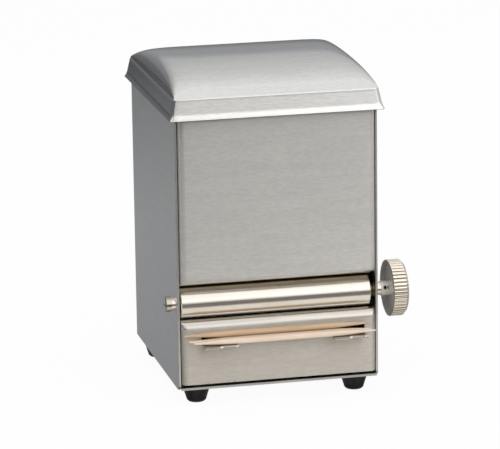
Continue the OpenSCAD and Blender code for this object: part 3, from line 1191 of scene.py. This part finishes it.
@dataclass
class FrontPanels:
    """The two pressed sheets of the front, each a face with folded-back edges.

    The gap lies between the case's outer side and a panel's flange, and the bow is
    how far the upper face's middle stands forward.
    """

    maker: Maker
    tab: PressedTab = PressedTab()
    tab_middles: Flat = (-21.2, 23.8)
    thickness: float = 0.8
    cut_edge: float = 0.1
    gap: float = 0.85
    bend: float = 2.4
    flange: float = 8.0
    corner_power: float = 2.6
    corner_limit: float = 1.0
    window_top: float = 42.55
    rim: float = 104.3
    hem_bend: float = 1.8
    hem_depth: float = 3.0
    bow: float = 0.45
    foot: float = 7.55
    lip_start: float = 26.418
    lip_bend: float = 3.6
    lip_angle: float = math.radians(78)
    face_columns: int = 28
    bend_steps: int = 8
    flange_steps: int = 4
    upper_rows: int = 24
    lower_rows: int = 14
    lip_steps: int = 12

    @property
    def half(self) -> float:
        """Half the width of a panel over its flanges."""
        return self.maker.place.width / MM / 2 - self.gap

    def columns(self, stops: Sequence[float]) -> list[Flat]:
        """Lists the columns of a panel from its left flange to its right one.

        Args:
            stops: Places across the face that need a column of their own.

        Returns:
            Each column as its X and how far back it lies.
        """
        edge = self.half - self.bend
        face = sorted({*spread(-edge, edge, self.face_columns), *stops})
        right = [
            (edge + self.bend * math.sin(a), self.bend * (1 - math.cos(a)))
            for a in spread(0, math.pi / 2, self.bend_steps)[1:]
        ]
        straight = spread(self.bend, self.flange, self.flange_steps)[1:]
        right += [(self.half, y) for y in straight]
        left = [(-x, y) for x, y in reversed(right)]
        return left + [(x, 0.0) for x in face] + right

    def skin(
        self,
        columns: Sequence[Flat],
        rows: Sequence[Flat],
        depth: Callable[[Flat, Flat], float],
        keep: Callable[[Flat, Flat, Flat, Flat], bool],
    ) -> tuple[list[Point], Faces]:
        """Lays a grid of faces over columns and rows.

        Args:
            columns: Each column as its X and how far back it lies.
            rows: Each row as its Z and how far back it lies.
            depth: Gives how far back a column lies at a row.
            keep: Says whether the face between two columns and two rows is there.

        Returns:
            Points and faces, which look to the front.
        """
        wide = len(columns)
        points = [(c[0], depth(c, r), r[0]) for r in rows for c in columns]
        faces = [
            [j * wide + i, j * wide + i + 1, (j + 1) * wide + i + 1, (j + 1) * wide + i]
            for j in range(len(rows) - 1)
            for i in range(wide - 1)
            if keep(columns[i], columns[i + 1], rows[j], rows[j + 1])
        ]
        return points, faces

    def pressed(self, first: float, second: float) -> float:
        """Joins two bends into one rounded corner.

        Args:
            first: How far back the first bend lies.
            second: How far back the second bend lies.

        Returns:
            How far back their corner lies.
        """
        power = self.corner_power
        joined = (first**power + second**power) ** (1 / power)
        return min(joined, max(first, second) + self.corner_limit)

    def upper_depth(self, column: Flat, row: Flat) -> float:
        """Gives how far back the upper panel lies, on a face that bows out.

        Args:
            column: The column's X and how far back it lies.
            row: The row's Z and how far back it lies.

        Returns:
            How far back their crossing lies.
        """
        bowed = self.bow * (1 - (column[0] / self.half) ** 2)
        joined = self.pressed(column[1], row[1])
        return min(joined, max(self.flange, column[1])) - bowed

    def upper_keep(self, left: Flat, right: Flat, low: Flat, high: Flat) -> bool:
        """Leaves the hem's flat return out of the upper panel's side flanges."""
        return low[1] <= self.hem_bend or max(left[1], right[1]) == 0.0

    def upper(self) -> bpy.types.Object:
        """Makes the panel above the window.

        Returns:
            The finished piece.
        """
        bend = self.hem_bend
        rows = [(self.window_top, self.hem_depth), (self.window_top, bend)]
        rows += [
            (self.window_top + bend * (1 - math.cos(a)), bend * (1 - math.sin(a)))
            for a in spread(0, math.pi / 2, self.bend_steps)[1:]
        ]
        straight = spread(rows[-1][0], self.rim, self.upper_rows)[1:]
        rows += [(z, 0.0) for z in straight]
        points, faces = self.skin(
            self.columns(()), rows, self.upper_depth, self.upper_keep
        )
        piece = self.maker.sheet(
            "front_sheet_upper", points, faces, self.thickness, self.cut_edge
        )
        return self.maker.deliver(
            piece,
            Body.CASE,
            Finish.BRUSHED_FRONT,
            Finish.BRUSHED_FRONT,
            "upper_front_panel",
        )

    def lower_depth(self, column: Flat, row: Flat) -> float:
        """Gives how far back the lower panel lies, clear of the roller at its lip.

        Args:
            column: The column's X and how far back it lies.
            row: The row's Z and how far back it lies.

        Returns:
            How far back their crossing lies.
        """
        joined = self.pressed(column[1], row[1])
        above = row[0] - self.lip_start
        if above <= 0:
            return joined
        cut = self.lip_bend - above / math.tan(self.lip_angle)
        return max(min(joined, cut), row[1])

    def lower_keep(self, left: Flat, right: Flat, low: Flat, high: Flat) -> bool:
        """Leaves the tabs' slots open in the lower panel.

        Args:
            left: The face's left column.
            right: Its right column.
            low: Its lower row.
            high: Its upper row.

        Returns:
            Whether the face is there.
        """
        x, z = (left[0] + right[0]) / 2, (low[0] + high[0]) / 2
        in_slot = self.tab.slot_low < z < self.tab.slot_high
        return not in_slot or all(
            abs(x - middle) >= self.tab.width / 2 for middle in self.tab_middles
        )

    def lower(self) -> bpy.types.Object:
        """Makes the panel below the roller, with its rolled lip and its tabs.

        Returns:
            The finished piece.
        """
        plain = spread(self.foot, self.lip_start, self.lower_rows)
        straight = sorted({*plain, self.tab.slot_low, self.tab.slot_high})
        rows = [(z, 0.0) for z in straight]
        rows += [
            (
                self.lip_start + self.lip_bend * math.sin(a),
                self.lip_bend * (1 - math.cos(a)),
            )
            for a in spread(0, self.lip_angle, self.lip_steps)[1:]
        ]
        stops = [x for middle in self.tab_middles for x in self.tab.stops(middle)]
        points, faces = self.skin(
            self.columns(stops), rows, self.lower_depth, self.lower_keep
        )
        for middle in self.tab_middles:
            more, tab_faces = self.tab.surface(middle)
            faces += [[n + len(points) for n in face] for face in tab_faces]
            points += more
        piece = self.maker.sheet(
            "front_sheet_lower", points, faces, self.thickness, self.cut_edge
        )
        return self.maker.deliver(
            piece,
            Body.CASE,
            Finish.BRUSHED_LIP,
            Finish.BRUSHED_FRONT,
            "lower_front_panel",
        )


# ---- lid -------------------------------------------------------------------


@dataclass
class Lid:
    """The pressed lid: a flared foot, a steep skirt, a rolled bead and a low dome.

    The bead's pairs are how far each level stands out of the case, and how far it
    lies over the skirt.
    """

    maker: Maker
    thickness: float = 0.6
    cut_edge: float = 0.12
    flare_out: float = 1.95
    flare_foot: float = 99.53
    flare_height: float = 2.1
    flare_straight: float = 0.55
    flare_curved: float = 0.45
    skirt_out: float = 1.2
    skirt_in: float = 0.4
    skirt_height: float = 4.1
    bead: tuple[Flat, ...] = (
        (0.34, 0.40),
        (0.32, 0.50),
        (0.27, 0.62),
        (0.18, 0.75),
        (0.06, 0.87),
    )
    shoulder: float = 1.0
    dome_out: float = -0.1
    rise: float = 7.55
    side_power: float = 10.0
    side_round: float = 0.74
    front_round: float = 1.08
    least: float = 1e-12
    foot_corner: float = 0.9
    corner: float = 1.5
    flare_rows: int = 10
    skirt_rows: int = 8
    dome_rings: int = 44
    corner_steps: int = 8
    side_steps: int = 40

    @property
    def skirt_foot(self) -> float:
        """The height of the skirt's foot."""
        return self.flare_foot + self.flare_height

    @property
    def skirt_top(self) -> float:
        """The height of the skirt's top."""
        return self.skirt_foot + self.skirt_height

    def outline(self, out: float, corner: float) -> list[Flat]:
        """Walks round the lid at one level.

        Args:
            out: How far the level stands out of the case.
            corner: Its corner radius.

        Returns:
            Points round the level, from the case's middle.
        """
        half_x = self.maker.place.width / MM / 2 + out - corner
        half_y = self.maker.place.depth / MM / 2 + out - corner
        spots: list[Flat] = []
        signs = ((1, 1), (-1, 1), (-1, -1), (1, -1))
        for k, (sx, sy) in enumerate(signs):
            middle = (sx * half_x, sy * half_y)
            spots += arc(middle, corner, 90 * k, 90 * k + 90, self.corner_steps)
            nx, ny = signs[(k + 1) % len(signs)]
            turn = math.radians(90 * k + 90)
            here = spots[-1]
            there = (
                nx * half_x + corner * math.cos(turn),
                ny * half_y + corner * math.sin(turn),
            )
            shares = spread(0, 1, self.side_steps)[1:-1]
            spots += [part_way(here, there, share) for share in shares]
        return spots

    def levels(self) -> list[Point]:
        """Lists the lid's levels, from the flare's foot to the bead's top.

        Returns:
            Each level as how far it stands out, its height and its corner radius.
        """
        flare = self.flare_out - self.skirt_out
        lean = self.skirt_in - self.skirt_out
        ease = self.corner - self.foot_corner
        levels = [
            (
                self.skirt_out
                + flare
                * (self.flare_straight * (1 - t) + self.flare_curved * (1 - t) ** 2),
                self.flare_foot + self.flare_height * t,
                self.foot_corner + ease * t,
            )
            for t in spread(0, 1, self.flare_rows)
        ]
        levels += [
            (
                self.skirt_out + lean * t,
                self.skirt_foot + self.skirt_height * t,
                self.corner,
            )
            for t in spread(0, 1, self.skirt_rows)[1:]
        ]
        return levels + [
            (out, self.skirt_top + up, self.corner) for out, up in self.bead
        ]

    def dome(self, x: float, y: float) -> float:
        """Gives the dome's height over its foot.

        Args:
            x: The share of its half width.
            y: The share of its half depth.

        Returns:
            The height, from 0 to 1.
        """
        arch = max(1 - y * y, 0.0) ** self.front_round
        fold = max(1 - abs(x) ** self.side_power, 0.0) ** self.side_round
        both = math.sqrt(arch * arch + fold * fold + self.least)
        return math.sqrt(2) * arch * fold / both

    def make(self) -> bpy.types.Object:
        """Makes the lid.

        Returns:
            The finished piece.
        """
        middle_y = self.maker.place.depth / MM / 2
        half_x = self.maker.place.width / MM / 2
        levels = self.levels()
        points: list[Point] = []
        for out, z, corner in levels:
            points += [(x, y + middle_y, z) for x, y in self.outline(out, corner)]
        foot = self.outline(self.dome_out, self.corner)
        around = len(foot)
        dome_foot = self.skirt_top + self.shoulder
        for i in range(self.dome_rings):
            share = math.cos(math.pi / 2 * i / self.dome_rings)
            for x, y in foot:
                up = self.dome(x * share / half_x, y * share / middle_y)
                spot = (x * share, y * share + middle_y, dome_foot + self.rise * up)
                points.append(spot)
        points.append((0.0, middle_y, dome_foot + self.rise))
        rows = len(levels) + self.dome_rings
        last, top = (rows - 1) * around, len(points) - 1
        faces = hoops(rows, around)
        faces += [[last + j, last + (j + 1) % around, top] for j in range(around)]
        piece = self.maker.sheet(
            "lid_pressing", points, faces, self.thickness, self.cut_edge
        )
        return self.maker.deliver(
            piece, Body.LID, Finish.BRUSHED_LID, Finish.BRUSHED_LID, "lid"
        )


# ---- toothpicks ------------------------------------------------------------


@dataclass
class Toothpicks:
    """The three toothpicks on the tabs, each a little uneven."""

    maker: Maker
    sides: int = 20
    rings: int = 60
    point: float = 12.0
    tip: float = 0.6
    point_start: float = 1.12
    point_curve: float = 0.12
    uneven: float = 0.02
    uneven_length: float = 0.11
    uneven_run: Point = (1, 0.3, 0.2)

    def radius(self, along: float, length: float, thick: float) -> float:
        """Gives the half thickness of a toothpick.

        Args:
            along: How far from its left end.
            length: Its length.
            thick: Its diameter.

        Returns:
            The half thickness there.
        """
        inward = min(along, length - along)
        share = min(inward / self.point, 1.0)
        eased = share * (self.point_start - self.point_curve * share)
        return (self.tip + (thick - self.tip) * min(eased, 1.0)) / 2

    def make(self, body: Body, finish: Finish) -> bpy.types.Object:
        """Makes one toothpick where its node lies, which is named as its body.

        Args:
            body: The body it rides on.
            finish: Its finish.

        Returns:
            The finished piece.
        """
        node = body.value
        low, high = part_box(node)
        start = self.maker.place.at((0, 0, 0))
        left = (low.x - start.x) / MM
        length = (high.x - low.x) / MM
        thick = (high.z - low.z) / MM
        middle_y = ((low.y + high.y) / 2 - start.y) / MM
        middle_z = (low.z + high.z) / 2 / MM
        points: list[Point] = []
        for along in spread(0, length, self.rings):
            base = self.radius(along, length, thick) - self.uneven
            run = (left + along) * self.uneven_length
            seat = Vector(run * share for share in self.uneven_run)
            for k in range(self.sides):
                turn = 2 * math.pi * k / self.sides
                spot = seat + Vector((0, math.cos(turn), math.sin(turn)))
                r = base + self.uneven * noise.noise(spot)
                y = middle_y + r * math.cos(turn)
                points.append((left + along, y, middle_z + r * math.sin(turn)))
        rows = self.rings + 1
        faces = hoops(rows, self.sides) + ends(rows, self.sides)
        piece = self.maker.mesh(f"turned_{node}", points, faces)
        self.maker.settle(piece)
        return self.maker.deliver(piece, body, finish, Finish.TOOTHPICK_WOOD, node)


# ---- knob ------------------------------------------------------------------


class KnobArea(IntEnum):
    """The parts of the knob with a finish of their own, by material slot."""

    PLATE = 0
    RECESS = 1
    VALLEY = 2
    HUB = 3


@dataclass
class Knob:
    """The knob: a ridged rim, a sunk grey inner face and a drilled hub.

    A share says how much of the ridges shows at an edge, and a band how far a
    finish reaches past the edge where it starts.
    """

    maker: Maker
    axis_y: float = 5.2
    axis_z: float = 35.2
    hub_start: float = 35.05
    stub_end: float = 36.6
    stub_radius: float = 2.2
    hub_radius: float = 2.5
    soft: float = 0.12
    face: float = 39.2
    end: float = 44.65
    recess: float = 1.5
    radius: float = 9.7
    wall: float = 0.55
    rim_edge: float = 0.1
    rim_share: float = 0.3
    chamfer: float = 1.0
    chamfer_round: float = 0.25
    chamfer_out: float = 0.2
    chamfer_in: float = 0.1
    chamfer_share: float = 0.35
    inner_share: float = 0.5
    ridges: int = 44
    ridge_depth: float = 0.32
    valley_power: int = 4
    steps: int = 8
    sharp_from: float = math.radians(38)
    holes: Flat = (37.75, 39.4)
    hole_radius: float = 0.75
    hole_angle: float = math.radians(19)
    drill_span: Flat = (1.7, 4.0)
    drill_sides: int = 20
    floor_band: float = 0.1
    hub_band: float = 0.2
    wall_band: float = 0.3
    edge_band: float = 0.2
    edge_from: float = 3.0
    valley_band: float = 0.6
    satin_band: float = 0.05
    finish_of: tuple[Finish, ...] = (
        Finish.RECESS_GREY,
        Finish.KNURL_VALLEY,
        Finish.SATIN_NICKEL,
    )

    def profile(self) -> list[Point]:
        """Walks from the hub's end to the outer face's middle.

        Returns:
            Points as X, radius and how much of the ridges shows there.
        """
        floor, rim = self.face + self.recess, self.radius - self.ridge_depth
        inner, soft = rim - self.wall, self.soft
        bevel = self.radius - self.chamfer
        return [
            (self.hub_start, 0.0, 0.0),
            (self.hub_start, self.stub_radius - soft, 0.0),
            (self.hub_start + soft, self.stub_radius, 0.0),
            (self.stub_end, self.stub_radius, 0.0),
            (self.stub_end, self.hub_radius - soft, 0.0),
            (self.stub_end + soft, self.hub_radius, 0.0),
            (floor - soft, self.hub_radius, 0.0),
            (floor, self.hub_radius + soft, 0.0),
            (floor, inner - soft, 0.0),
            (floor - soft, inner, 0.0),
            (self.face + soft, inner, 0.0),
            (self.face, inner + soft, 0.0),
            (self.face, rim - soft, self.rim_share),
            (self.face + self.rim_edge, self.radius, 1.0),
            (self.end - self.chamfer, self.radius, 1.0),
            (
                self.end - self.chamfer_round,
                bevel + self.chamfer_out,
                self.chamfer_share,
            ),
            (self.end, bevel - self.chamfer_in, 0.0),
            (self.end, self.radius * self.inner_share, 0.0),
            (self.end, 0.0, 0.0),
        ]

    def valley(self, turn: int) -> float:
        """Returns how deep the ridged rim is at a step round it, from 0 to 1."""
        return abs(2 * (turn % self.steps) / self.steps - 1) ** self.valley_power

    def drill(self, x: float) -> bpy.types.Object:
        """Makes the cutting shape of one hole in the hub.

        Args:
            x: Where along the hub it lies.

        Returns:
            A round bar from near the hub's axis outwards.
        """
        lean, count = self.hole_angle, self.drill_sides
        out = Vector((0, -math.cos(lean), math.sin(lean)))
        side = Vector((0, math.sin(lean), math.cos(lean)))
        points: list[Point] = []
        for reach in self.drill_span:
            for k in range(count):
                turn = 2 * math.pi * k / count
                across = x + self.hole_radius * math.cos(turn)
                middle = Vector((across, self.axis_y, self.axis_z))
                spot = middle + out * reach + side * self.hole_radius * math.sin(turn)
                points.append(tuple(spot))
        faces = hoops(2, count) + ends(2, count)
        return self.maker.mesh("hub_drill", points, faces)

    def make(self) -> bpy.types.Object:
        """Makes the knob.

        Returns:
            The finished piece.
        """
        around = self.ridges * self.steps
        profile = self.profile()
        points: list[Point] = []
        for x, radius, share in profile:
            for k in range(around):
                turn = 2 * math.pi * k / around
                r = radius - self.ridge_depth * share * self.valley(k)
                y = self.axis_y - r * math.cos(turn)
                points.append((x, y, self.axis_z + r * math.sin(turn)))
        piece = self.maker.mesh("ridged_knob", points, hoops(len(profile), around))
        piece.data.set_sharp_from_angle(angle=self.sharp_from)
        drills = [self.drill(x) for x in self.holes]
        for drill in drills:
            cut = piece.modifiers.new("drilled", "BOOLEAN")
            cut.object = drill
            cut.operation = "DIFFERENCE"
        self.maker.settle(piece)
        for drill in drills:
            bpy.data.objects.remove(drill)
        self.maker.deliver(piece, Body.ROLLER, Finish.NICKEL, Finish.NICKEL, "knob")
        self.shade(piece)
        return piece

    def area(self, deep: float, reach: float, turns: float) -> KnobArea:
        """Says which part of the knob a spot lies on.

        Args:
            deep: How far it lies beyond the inner face.
            reach: How far it lies from the axis.
            turns: Its place round the axis, counted in ridges.

        Returns:
            The part.
        """
        wall = self.radius - self.ridge_depth - self.wall_band
        on_floor = deep < self.recess + self.floor_band
        if on_floor and self.hub_radius + self.hub_band < reach < wall:
            return KnobArea.RECESS
        on_edge = deep < self.edge_band and reach > self.edge_from
        in_valley = abs(turns - round(turns)) < 1 / self.steps
        if on_edge or in_valley and reach > self.radius - self.valley_band:
            return KnobArea.VALLEY
        on_hub = reach < self.hub_radius + self.satin_band
        if on_hub and self.stub_end - self.face < deep:
            return KnobArea.HUB
        return KnobArea.PLATE

    def shade(self, piece: bpy.types.Object) -> None:
        """Gives the sunk face its grey, the valleys a darker brown, the hub its satin.

        Args:
            piece: The knob.
        """
        for finish in self.finish_of:
            piece.data.materials.append(self.maker.finishes.made[finish])
        centre = self.maker.place.at((self.face, self.axis_y, self.axis_z))
        for face in piece.data.polygons:
            spot = (face.center - centre) / MM
            reach = math.hypot(spot.y, spot.z)
            turns = math.atan2(spot.z, -spot.y) / (2 * math.pi) * self.ridges
            face.material_index = self.area(spot.x, reach, turns)


# ---- studio ----------------------------------------------------------------


@dataclass(frozen=True)
class Softbox:
    """A lamp with a flat face that looks at the dispenser."""

    name: str
    azimuth: float
    elevation: float
    distance: float
    width: float
    height: float
    radiance: float

    def place(self, target: Vector) -> None:
        """Hangs the lamp.

        Args:
            target: The point it looks at.
        """
        data = bpy.data.lights.new(self.name, "AREA")
        data.shape = "RECTANGLE"
        data.size = self.width
        data.size_y = self.height
        data.energy = self.radiance * math.pi * self.width * self.height
        lamp = bpy.data.objects.new(self.name, data)
        lamp.matrix_world = looking(
            target, self.azimuth, self.elevation, 0.0, self.distance
        )
        lamp.visible_glossy = False
        bpy.context.scene.collection.objects.link(lamp)


@dataclass(frozen=True)
class Fade:
    """Dims a board across: to one strength up to start, to another from end on."""

    start: float
    first: float
    end: float
    second: float


@dataclass(frozen=True)
class Card:
    """A board round the table, out of view, which only the metal mirrors."""

    name: str
    corner: Point
    across: Point
    up: Point
    stops: tuple[Stop, ...]
    fade: Fade | None = None

    def share(
        self, recipe: Recipe, where: bpy.types.NodeSocket, edge: Vector
    ) -> Value:
        """Gives how far along one edge a point lies.

        Args:
            recipe: The board's nodes.
            where: The point.
            edge: The edge, from the board's corner.

        Returns:
            0 at the corner, 1 at the edge's end.
        """
        unit = tuple(edge / edge.dot(edge))
        along = recipe.node(
            "ShaderNodeVectorMath", {"operation": "DOT_PRODUCT"}, {0: where, 1: unit}
        ).outputs["Value"]
        return Value(recipe, along) - Vector(self.corner).dot(edge) / edge.dot(edge)

    def paint(self) -> bpy.types.Material:
        """Makes the board's tones, which run from its foot to its top.

        Returns:
            The material.
        """
        material, recipe = new_material(self.name)
        where = recipe.node("ShaderNodeTexCoord").outputs["Object"]
        height = self.share(recipe, where, Vector(self.up))
        tone = recipe.node("ShaderNodeValToRGB", {"stops": self.stops}, {0: height})
        sockets: Sockets = {"Color": tone.outputs[0]}
        if self.fade:
            across = self.share(recipe, where, Vector(self.across))
            passed = across.ramp(self.fade.start, self.fade.end)
            gain = self.fade.second - self.fade.first
            sockets["Strength"] = self.fade.first + passed * gain
        glow = recipe.node("ShaderNodeEmission", None, sockets)
        recipe.node("ShaderNodeOutputMaterial", None, {"Surface": glow.outputs[0]})
        material.cycles.emission_sampling = "NONE"
        return material

    def place(self) -> None:
        """Sets the board up where only reflections find it."""
        foot, across, up = Vector(self.corner), Vector(self.across), Vector(self.up)
        spots = [foot, foot + across, foot + across + up, foot + up]
        data = bpy.data.meshes.new(self.name)
        data.from_pydata(spots, [], [[0, 1, 2, 3]])
        data.materials.append(self.paint())
        card = bpy.data.objects.new(self.name, data)
        card.visible_camera = False
        card.visible_diffuse = False
        card.visible_shadow = False
        card.visible_transmission = False
        bpy.context.scene.collection.objects.link(card)


def looking(
    target: Vector, azimuth: float, elevation: float, roll: float, distance: float
) -> Matrix:
    """Places something that looks at a target along its own -Z.

    Args:
        target: The point looked at.
        azimuth: Its direction round the target, from the front, in degrees.
        elevation: Its direction above the table, in degrees.
        roll: Its turn about its line of sight, in degrees.
        distance: How far off it stands, in metres.

    Returns:
        Its matrix in the frame.
    """
    a, e, r = (math.radians(v) for v in (azimuth, elevation, roll))
    back = Vector((math.sin(a) * math.cos(e), -math.cos(a) * math.cos(e), math.sin(e)))
    right = Vector((math.cos(a), math.sin(a), 0.0))
    up = back.cross(right)
    tilted = right * math.cos(r) + up * math.sin(r)
    upright = up * math.cos(r) - right * math.sin(r)
    turn = Matrix((tilted, upright, back)).transposed().to_4x4()
    return Matrix.Translation(target + back * distance) @ turn


def seen_rays(recipe: Recipe) -> Value:
    """Marks the rays that show the background.

    Args:
        recipe: The nodes of the table or the world.

    Returns:
        1 for a ray from the camera, off metal or through glass, and 0 for others.
    """
    path = recipe.node("ShaderNodeLightPath")
    camera, glossy, through = (
        Value(recipe, path.outputs[f"Is {kind} Ray"])
        for kind in ("Camera", "Glossy", "Transmission")
    )
    return (camera + glossy + through).ramp(0.0, 1.0)


FRONT_TONES = (
    (0.0, 0.06, 0.055, 0.05),
    (0.052, 0.08, 0.075, 0.07),
    (0.082, 0.44, 0.43, 0.41),
    (0.115, 0.74, 0.73, 0.71),
    (0.19, 1.02, 1.01, 0.99),
    (0.27, 1.38, 1.38, 1.36),
    (0.44, 1.38, 1.38, 1.36),
    (0.62, 1.06, 1.05, 1.03),
    (1.0, 1.04, 1.03, 1.01),
)
# The darkest stops at its foot, by the case, paint the case's shadow on the table as
# the metal mirrors it.
FRONT_TABLE_TONES = (
    (0.0, 0.16, 0.13, 0.10),
    (0.006, 0.34, 0.29, 0.23),
    (0.010, 0.84, 0.81, 0.76),
    (0.038, 0.86, 0.84, 0.80),
    (0.049, 0.30, 0.28, 0.25),
    (0.060, 0.08, 0.075, 0.07),
    (1.0, 0.06, 0.055, 0.05),
)
BACK_TONES = (
    (0.0, 0.20, 0.205, 0.215),
    (0.07, 0.22, 0.225, 0.235),
    (0.11, 0.34, 0.35, 0.365),
    (0.17, 0.36, 0.37, 0.385),
    (0.200, 0.30, 0.315, 0.335),
    (0.218, 0.55, 0.55, 0.555),
    (0.38, 0.70, 0.70, 0.69),
    (0.63, 0.84, 0.84, 0.83),
    (0.88, 1.0, 0.99, 0.97),
)
BACK_TABLE_TONES = (
    (0.0, 0.31, 0.32, 0.335),
    (0.08, 0.34, 0.355, 0.37),
    (0.19, 0.40, 0.415, 0.43),
    (0.30, 0.31, 0.32, 0.335),
    (0.44, 0.20, 0.205, 0.21),
    (0.57, 0.19, 0.195, 0.20),
    (0.66, 0.09, 0.09, 0.095),
    (1.0, 0.08, 0.08, 0.085),
)


@dataclass
class Studio:
    """The table, the light and the camera."""

    aim: Point = (-1.82, 35.0, 53.22)
    azimuth: float = -12.87
    elevation: float = 14.12
    roll: float = -0.80
    distance: float = 1.156
    lens: float = 239.8
    sensor: float = 36.0
    nearest: float = 0.05
    table_half: float = 6.0
    table_tooth: Cloud = Cloud((300, 300, 300), 3.0)
    table_dark: Colour = (0.88, 0.88, 0.88)
    table_light: Colour = (0.91, 0.91, 0.91)
    white: Colour = (1.0, 1.0, 1.0)
    paper_glow: float = 0.95
    diffuse_world: float = 0.55
    lamp_aim: Point = (0, 0, 35)
    softboxes: tuple[Softbox, ...] = (
        Softbox(
            "lamp_front",
            azimuth=0,
            elevation=41,
            distance=1.3,
            width=2.2,
            height=1.75,
            radiance=1.0,
        ),
        Softbox(
            "lamp_top",
            azimuth=180,
            elevation=80,
            distance=1.3,
            width=1.6,
            height=0.9,
            radiance=0.8,
        ),
    )
    cards: tuple[Card, ...] = (
        Card(
            "card_front",
            corner=(-3.0, -1.6, 0.0),
            across=(6.0, 0.0, 0.0),
            up=(0.0, 0.0, 2.4),
            stops=FRONT_TONES,
            fade=Fade(start=0.46, first=0.66, end=0.66, second=1.5),
        ),
        Card(
            "card_front_table",
            corner=(-3.0, -0.03, 0.0005),
            across=(6.0, 0.0, 0.0),
            up=(0.0, -1.57, 0.0),
            stops=FRONT_TABLE_TONES,
        ),
        Card(
            "card_back",
            corner=(-3.0, 1.4, 0.0),
            across=(6.0, 0.0, 0.0),
            up=(0.0, 0.0, 2.4),
            stops=BACK_TONES,
            fade=Fade(start=0.40, first=0.7, end=0.52, second=1.0),
        ),
        Card(
            "card_back_table",
            corner=(-3.0, -0.03, 0.0005),
            across=(6.0, 0.0, 0.0),
            up=(0.0, 1.43, 0.0),
            stops=BACK_TABLE_TONES,
        ),
        Card(
            "card_corner",
            corner=(-0.6, -0.16, 0.001),
            across=(0.3, 0.0, 0.0),
            up=(0.0, 0.13, 0.0),
            stops=((0.0, 1.0, 1.0, 0.99), (1.0, 1.0, 1.0, 0.99)),
        ),
        Card(
            "card_left",
            corner=(-1.3, -1.6, 0.0),
            across=(0.0, 3.0, 0.0),
            up=(0.0, 0.0, 1.1),
            stops=((0.0, 0.16, 0.16, 0.16), (1.0, 0.24, 0.24, 0.24)),
        ),
        Card(
            "card_right",
            corner=(1.3, -1.6, 0.0),
            across=(0.0, 3.0, 0.0),
            up=(0.0, 0.0, 1.1),
            stops=((0.0, 0.70, 0.69, 0.67), (1.0, 0.95, 0.94, 0.92)),
        ),
        Card(
            "card_ceiling",
            corner=(-2.0, -1.6, 2.4),
            across=(4.0, 0.0, 0.0),
            up=(0.0, 3.0, 0.0),
            stops=((0.0, 1.2, 1.2, 1.19), (1.0, 1.1, 1.1, 1.09)),
        ),
    )

    def set_camera(self, place: Place) -> None:
        """Puts the camera where the photograph was taken from.

        Args:
            place: The place of the case.
        """
        data = bpy.data.cameras.new("camera")
        data.lens = self.lens
        data.sensor_width = self.sensor
        data.sensor_fit = "HORIZONTAL"
        data.clip_start = self.nearest
        camera = bpy.data.objects.new("camera", data)
        camera.matrix_world = looking(
            place.at(self.aim), self.azimuth, self.elevation, self.roll, self.distance
        )
        bpy.context.scene.collection.objects.link(camera)
        bpy.context.scene.camera = camera

    def lay_table(self) -> None:
        """Lays the pale table, which keeps the dispenser's shadow."""
        half = self.table_half
        spots = [(-half, -half, 0), (half, -half, 0), (half, half, 0), (-half, half, 0)]
        data = bpy.data.meshes.new("table_top")
        data.from_pydata(spots, [], [[0, 1, 2, 3]])
        table = bpy.data.objects.new("table_top", data)
        bpy.context.scene.collection.objects.link(table)
        material, recipe = new_material("table_paper")
        tooth = recipe.cloud(self.table_tooth)
        tone = recipe.blend(tooth, self.table_dark, self.table_light)
        paper = recipe.node("ShaderNodeBsdfDiffuse", None, {"Color": tone})
        glow = recipe.node("ShaderNodeEmission", None, {"Color": self.white})
        share = seen_rays(recipe) * self.paper_glow
        mixed = recipe.node(
            "ShaderNodeMixShader",
            None,
            {0: share, 1: paper.outputs[0], 2: glow.outputs[0]},
        )
        recipe.node("ShaderNodeOutputMaterial", None, {"Surface": mixed.outputs[0]})
        data.materials.append(material)

    def light_world(self) -> None:
        """Surrounds the table with white that the camera and the metal see."""
        world = bpy.data.worlds.new("studio_white")
        world.use_nodes = True
        world.cycles.sampling_method = "NONE"
        bpy.context.scene.world = world
        recipe = Recipe(world.node_tree)
        strength = self.diffuse_world + seen_rays(recipe) * (1.0 - self.diffuse_world)
        glow = recipe.node(
            "ShaderNodeBackground", None, {"Color": self.white, "Strength": strength}
        )
        recipe.node("ShaderNodeOutputWorld", None, {"Surface": glow.outputs[0]})

    def build(self, place: Place) -> None:
        """Sets up everything round the dispenser.

        Args:
            place: The place of the case.
        """
        bpy.context.scene.view_settings.view_transform = "Standard"
        self.set_camera(place)
        self.lay_table()
        self.light_world()
        for softbox in self.softboxes:
            softbox.place(place.at(self.lamp_aim))
            LOG.info("%s: hung", softbox.name)
        for card in self.cards:
            card.place()
            LOG.info("%s: set up", card.name)


# ---- assembly --------------------------------------------------------------


def clear_leftovers() -> None:
    """Removes what a new Blender file holds besides the frame."""
    keep = {*frame["nodes"].values(), *frame["bodies"].values()}
    for leftover in [o for o in bpy.data.objects if o not in keep]:
        bpy.data.objects.remove(leftover)


def main() -> None:
    """Builds the dispenser and its studio in order."""
    logging.basicConfig(level=logging.INFO, format="%(name)s: %(message)s")
    clear_leftovers()
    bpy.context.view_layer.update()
    place = Place.of_case()
    finishes = Finishes()
    maker = Maker(place, finishes)
    panels = FrontPanels(maker)
    finishes.prepare(Burnish(panels.lip_start * MM, place.front_y))
    for group in (CaseShell(), Hopper(), Feet(), RollerDrive()):
        group.dress(finishes)
    panels.upper()
    panels.lower()
    Lid(maker).make()
    Knob(maker).make()
    toothpicks = Toothpicks(maker)
    toothpicks.make(Body.PICK_REAR, Finish.TOOTHPICK_WOOD_TAN)
    toothpicks.make(Body.PICK_MIDDLE, Finish.TOOTHPICK_WOOD)
    toothpicks.make(Body.PICK_FRONT, Finish.TOOTHPICK_WOOD)
    Studio().build(place)


if __name__ == "__main__":
    main()
